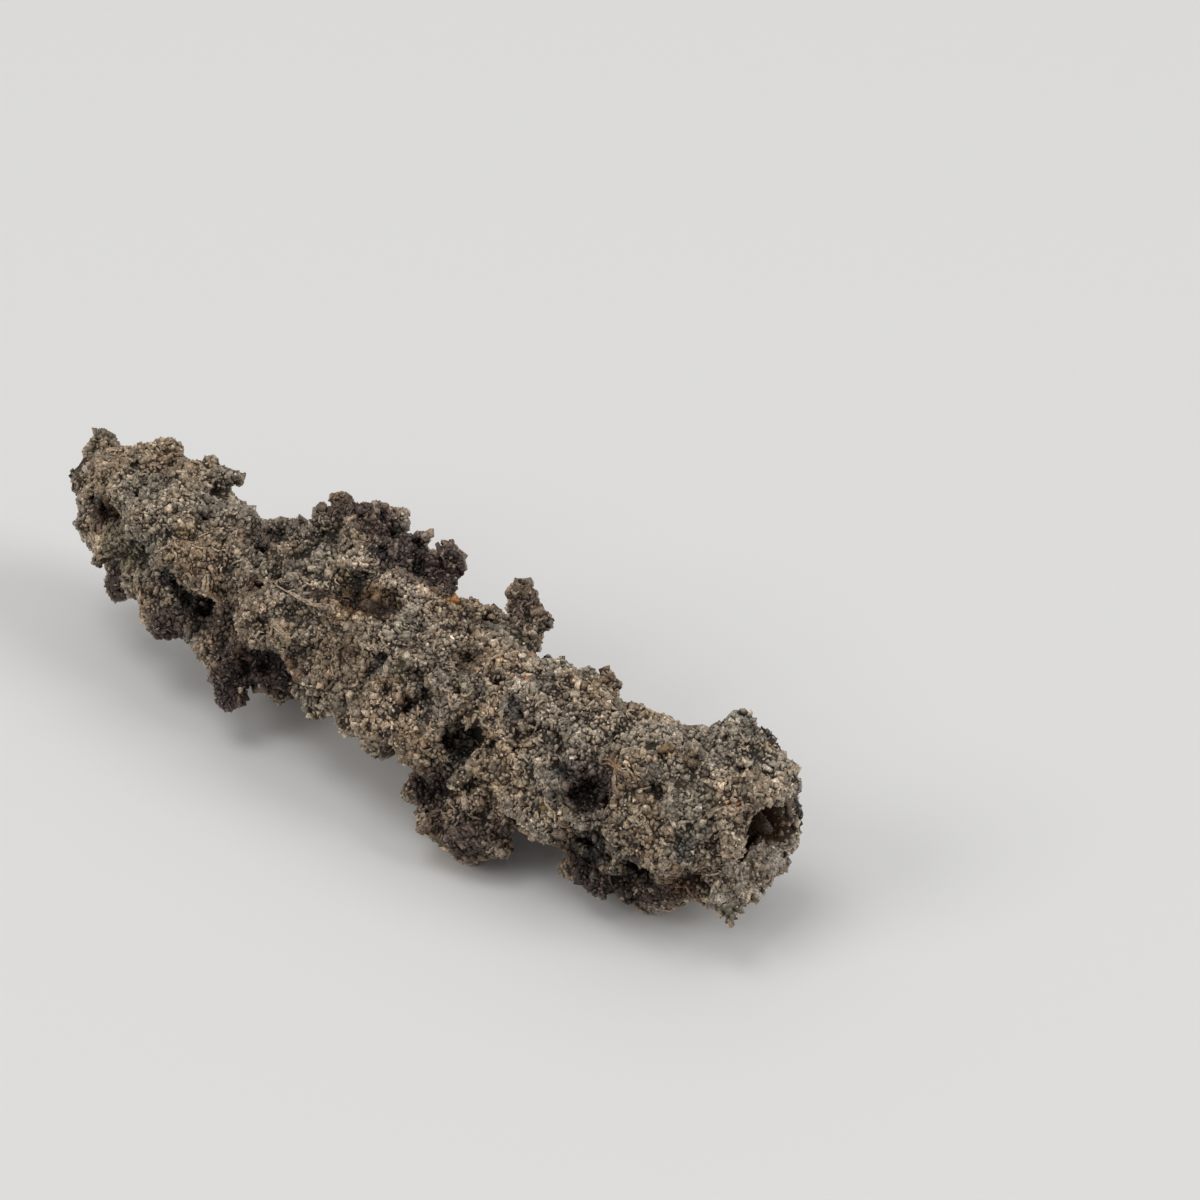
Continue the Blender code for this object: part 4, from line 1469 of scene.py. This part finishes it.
def thread_shapes(lines, widths, points, normals, tree, lift):
    """Round threads laid along lines on the crust, tapered to their ends.

    Each of a line's points is moved to the nearest vertex of the crust and up by the lift. The
    ring round it is w/2 (cos(t) side + sin(t) up), and the width w falls towards both ends.
    """
    nearest = np.array([tree.find(place)[1] for place in lines.reshape(-1, 3)])
    up = eased_lines(normals[nearest].reshape(lines.shape))
    middle = eased_lines(points[nearest].reshape(lines.shape)) + up * lift
    up = unit(up)
    side = unit(np.cross(np.gradient(middle, axis=1), up))
    turn = np.linspace(0.0, 2 * math.pi, THREAD_SIDES, endpoint=False)
    share = np.linspace(0.0, 1.0, lines.shape[1])
    half = widths[:, None] / 2 * (0.2 + 0.8 * np.sin(math.pi * share)[None, :] ** 0.5)
    ring = np.cos(turn)[:, None] * side[..., None, :] + np.sin(turn)[:, None] * up[..., None, :]
    shapes = middle[..., None, :] + half[..., None, None] * ring
    number = np.arange(shapes[0, ..., 0].size).reshape(-1, THREAD_SIDES)
    closed = np.concatenate([number, number[:, :1]], axis=1)
    corners = (closed[:-1, :-1], closed[:-1, 1:], closed[1:, 1:], closed[1:, :-1])
    ends = [line[[0, 1, 2, 3, 0, 3, 4, 5]].reshape(2, 4) for line in (number[0], number[-1])]
    faces = np.concatenate([np.stack(corners, axis=-1).reshape(-1, 4), *ends])
    return joined(shapes.reshape(len(lines), -1, 3), faces)


class FULGURITE_OT_bore_glass(bpy.types.Operator):
    """Lines the bore with melted glass"""

    bl_idname = "fulgurite.bore_glass"
    bl_label = "Bore Glass"

    def execute(self, context):
        mesh = bore_lining(context.scene.fulgurite_glass.thickness)
        store(mesh, "tint", np.full((len(mesh.vertices), 3), COLOURS["bore"]))
        stone_piece("bore_glass", mesh, glass_paint("bore_glass", clear=0.0))
        return {"FINISHED"}


class FULGURITE_OT_end_glass(bpy.types.Operator):
    """Adds the sheets of glass round the open end"""

    bl_idname = "fulgurite.end_glass"
    bl_label = "End Glass"

    def execute(self, context):
        settings = context.scene.fulgurite_glass
        sheets = [glass_sheet(*sheet) for *sheet, _, _ in SHEETS.values()]
        first = np.cumsum([0] + [len(points) for points, _ in sheets])
        points = np.concatenate([points for points, _ in sheets])
        faces = np.concatenate([faces + start for (_, faces), start in zip(sheets, first)])
        mesh = outward_mesh("end_glass", points, faces)
        colours = np.array([COLOURS[kind] for *_, kind, _ in SHEETS.values()])
        store(mesh, "tint", np.repeat(colours, np.diff(first), axis=0))
        stone_piece("end_glass", mesh, glass_paint("end_glass", settings.clear))
        return {"FINISHED"}


class FULGURITE_OT_threads(bpy.types.Operator):
    """Lays threads of drawn glass on the crust"""

    bl_idname = "fulgurite.threads"
    bl_label = "Glass Threads"

    def execute(self, context):
        settings = context.scene.fulgurite_glass
        random = np.random.default_rng(settings.seed)
        points, normals = corner_places(bpy.data.objects["fused_crust"].data)
        tree = crust_tree(points)
        open_air = (bore_gap(points) > CURL_BORE_GAP * MM) & (points[:, 2] > CURL_FLOOR_GAP * MM)
        short = curls(points[open_air], normals[open_air], random)
        share = np.linspace(0.0, 1.0, STRAND_POINTS)
        lines = np.stack([line_at(path, share) for path, _ in THREADS.values()]) * MM
        lines = np.repeat(lines, STRANDS, axis=0)
        lines += random.normal(0.0, STRAND_GAP * MM, (len(lines), 1, 3))
        widths = np.repeat([width for _, width in THREADS.values()], STRANDS) * MM
        (first, faces), (second, more) = (
            thread_shapes(*batch, points, normals, tree, settings.thread_lift)
            for batch in (short, (lines, widths))
        )
        shapes = np.concatenate([first, second])
        threads = outward_mesh("glass_threads", shapes, np.concatenate([faces, more + len(first)]))
        colours = mixture(shapes, random, settings.seed) * 0.3 + 0.7 * np.array(DRIFTS).mean(axis=0)
        colours = stained(shapes, colours, settings.seed, 0.8, np.ones(len(shapes)))
        store(threads, "tint", colours * 1.25)
        store(threads, "gloss", np.full(len(shapes), 0.6))
        paint = grain_paint("drawn_glass", roughness=0.4, coat=0.5)
        stone_piece("glass_threads", threads, paint)
        return {"FINISHED"}


# ---------------------------------------------------------------- stage

CAMERA_AT = (119.56, -132.203, 136.8)  # mm
CAMERA_LOOKS = (-0.504, 0.6455, -0.5736)
CAMERA_LENS = 105.0  # mm
CAMERA_SENSOR = 36.0  # mm

CAMERA_NEAR = 0.01  # m

TABLE_HALF_SIDE = 20.0  # m, so that little shows past its edge in a low view

# Soft lights: height and turn from +X in degrees, width across in degrees, strength, colour.
LIGHTS = {
    "window": (35, 20, 26, 1.0, (1.0, 0.99, 0.97)),
    "ceiling": (75, 220, 30, 0.62, (1.0, 0.99, 0.97)),
    "room": (35, 240, 30, 0.68, (1.0, 0.98, 0.95)),
}


def soft_light(name, height, turn, width, energy, tint):
    """Even light from far off: its height and turn from +X in degrees, and its width across."""
    light = bpy.data.lights.new(name, "SUN")
    light.angle = math.radians(width)
    light.energy = energy
    light.color = tint
    obj = new_object(name, light)
    height, turn = math.radians(height), math.radians(turn)
    level = math.cos(height)
    away = Vector((level * math.cos(turn), level * math.sin(turn), math.sin(height)))
    obj.rotation_euler = away.to_track_quat("Z", "Y").to_euler()


def soft_room(brightness, horizon):
    """Light from all round: brightness (h + 1.5 (1 - h) s), where s is the sine of the height."""
    world = bpy.data.worlds.new("soft_room")
    world.use_nodes = True
    tree = world.node_tree
    place = tree.nodes.new("ShaderNodeTexCoord")
    split = tree.nodes.new("ShaderNodeSeparateXYZ")
    height = tree.nodes.new("ShaderNodeMapRange")
    height.inputs["To Min"].default_value = brightness * horizon
    height.inputs["To Max"].default_value = brightness * (1.5 - 0.5 * horizon)
    sky = tree.nodes["Background"]
    sky.inputs["Color"].default_value = (1.0, 1.0, 1.0, 1.0)
    tree.links.new(place.outputs["Generated"], split.inputs["Vector"])
    tree.links.new(split.outputs["Z"], height.inputs["Value"])
    tree.links.new(height.outputs["Result"], sky.inputs["Strength"])
    return world


class FULGURITE_OT_stage(bpy.types.Operator):
    """Sets the pale surface, the soft light and the camera"""

    bl_idname = "fulgurite.stage"
    bl_label = "Stage"

    def execute(self, context):
        settings = context.scene.fulgurite_stage
        half = TABLE_HALF_SIDE
        corners = np.array([(-half, -half, 0), (half, -half, 0), (half, half, 0), (-half, half, 0)])
        table = new_object("table", faces_mesh("table", corners, np.array([[0, 1, 2, 3]]), False))
        table.data.materials.append(table_paint(settings.table_colour))
        context.scene.world = soft_room(settings.sky, settings.horizon)
        context.scene.view_settings.view_transform = "Standard"
        for name, (height, turn, width, energy, tint) in LIGHTS.items():
            soft_light(name, height, turn, width, energy * settings.lamps, tint)
        camera = bpy.data.cameras.new("camera")
        camera.lens = CAMERA_LENS
        camera.sensor_width = CAMERA_SENSOR
        camera.clip_start = CAMERA_NEAR
        obj = new_object("camera", camera)
        obj.location = Vector(CAMERA_AT) * MM
        obj.rotation_euler = Vector(CAMERA_LOOKS).to_track_quat("-Z", "Y").to_euler()
        context.scene.camera = obj
        return {"FINISHED"}


class FULGURITE_PT_panel(bpy.types.Panel):
    """Lists the stone's pieces and their sizes"""

    bl_label = "Fulgurite"
    bl_space_type = "VIEW_3D"
    bl_region_type = "UI"
    bl_category = "Fulgurite"

    def draw(self, context):
        for group, *operators in PIECES:
            box = self.layout.box()
            settings = getattr(context.scene, group)
            for name in settings.__annotations__:
                box.prop(settings, name)
            for operator in operators:
                box.operator(operator)


GROUPS = {
    "fulgurite_crust": FulguriteCrust,
    "fulgurite_sand": FulguriteSand,
    "fulgurite_glass": FulguriteGlass,
    "fulgurite_stage": FulguriteStage,
}
PIECES = (
    ("fulgurite_crust", "fulgurite.crust"),
    ("fulgurite_sand", "fulgurite.sand"),
    ("fulgurite_glass", "fulgurite.bore_glass", "fulgurite.end_glass", "fulgurite.threads"),
    ("fulgurite_stage", "fulgurite.stage"),
)
CLASSES = (
    *GROUPS.values(),
    FULGURITE_OT_crust,
    FULGURITE_OT_sand,
    FULGURITE_OT_bore_glass,
    FULGURITE_OT_end_glass,
    FULGURITE_OT_threads,
    FULGURITE_OT_stage,
    FULGURITE_PT_panel,
)


def register():
    for kind in CLASSES:
        bpy.utils.register_class(kind)
    for name, group in GROUPS.items():
        setattr(bpy.types.Scene, name, bpy.props.PointerProperty(type=group))


def unregister():
    for name in GROUPS:
        delattr(bpy.types.Scene, name)
    for kind in reversed(CLASSES):
        bpy.utils.unregister_class(kind)


def main():
    """Builds every piece in order."""
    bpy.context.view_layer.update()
    register()
    bpy.ops.fulgurite.crust()
    bpy.ops.fulgurite.sand()
    bpy.ops.fulgurite.bore_glass()
    bpy.ops.fulgurite.end_glass()
    bpy.ops.fulgurite.threads()
    bpy.ops.fulgurite.stage()


if __name__ == "__main__":
    main()
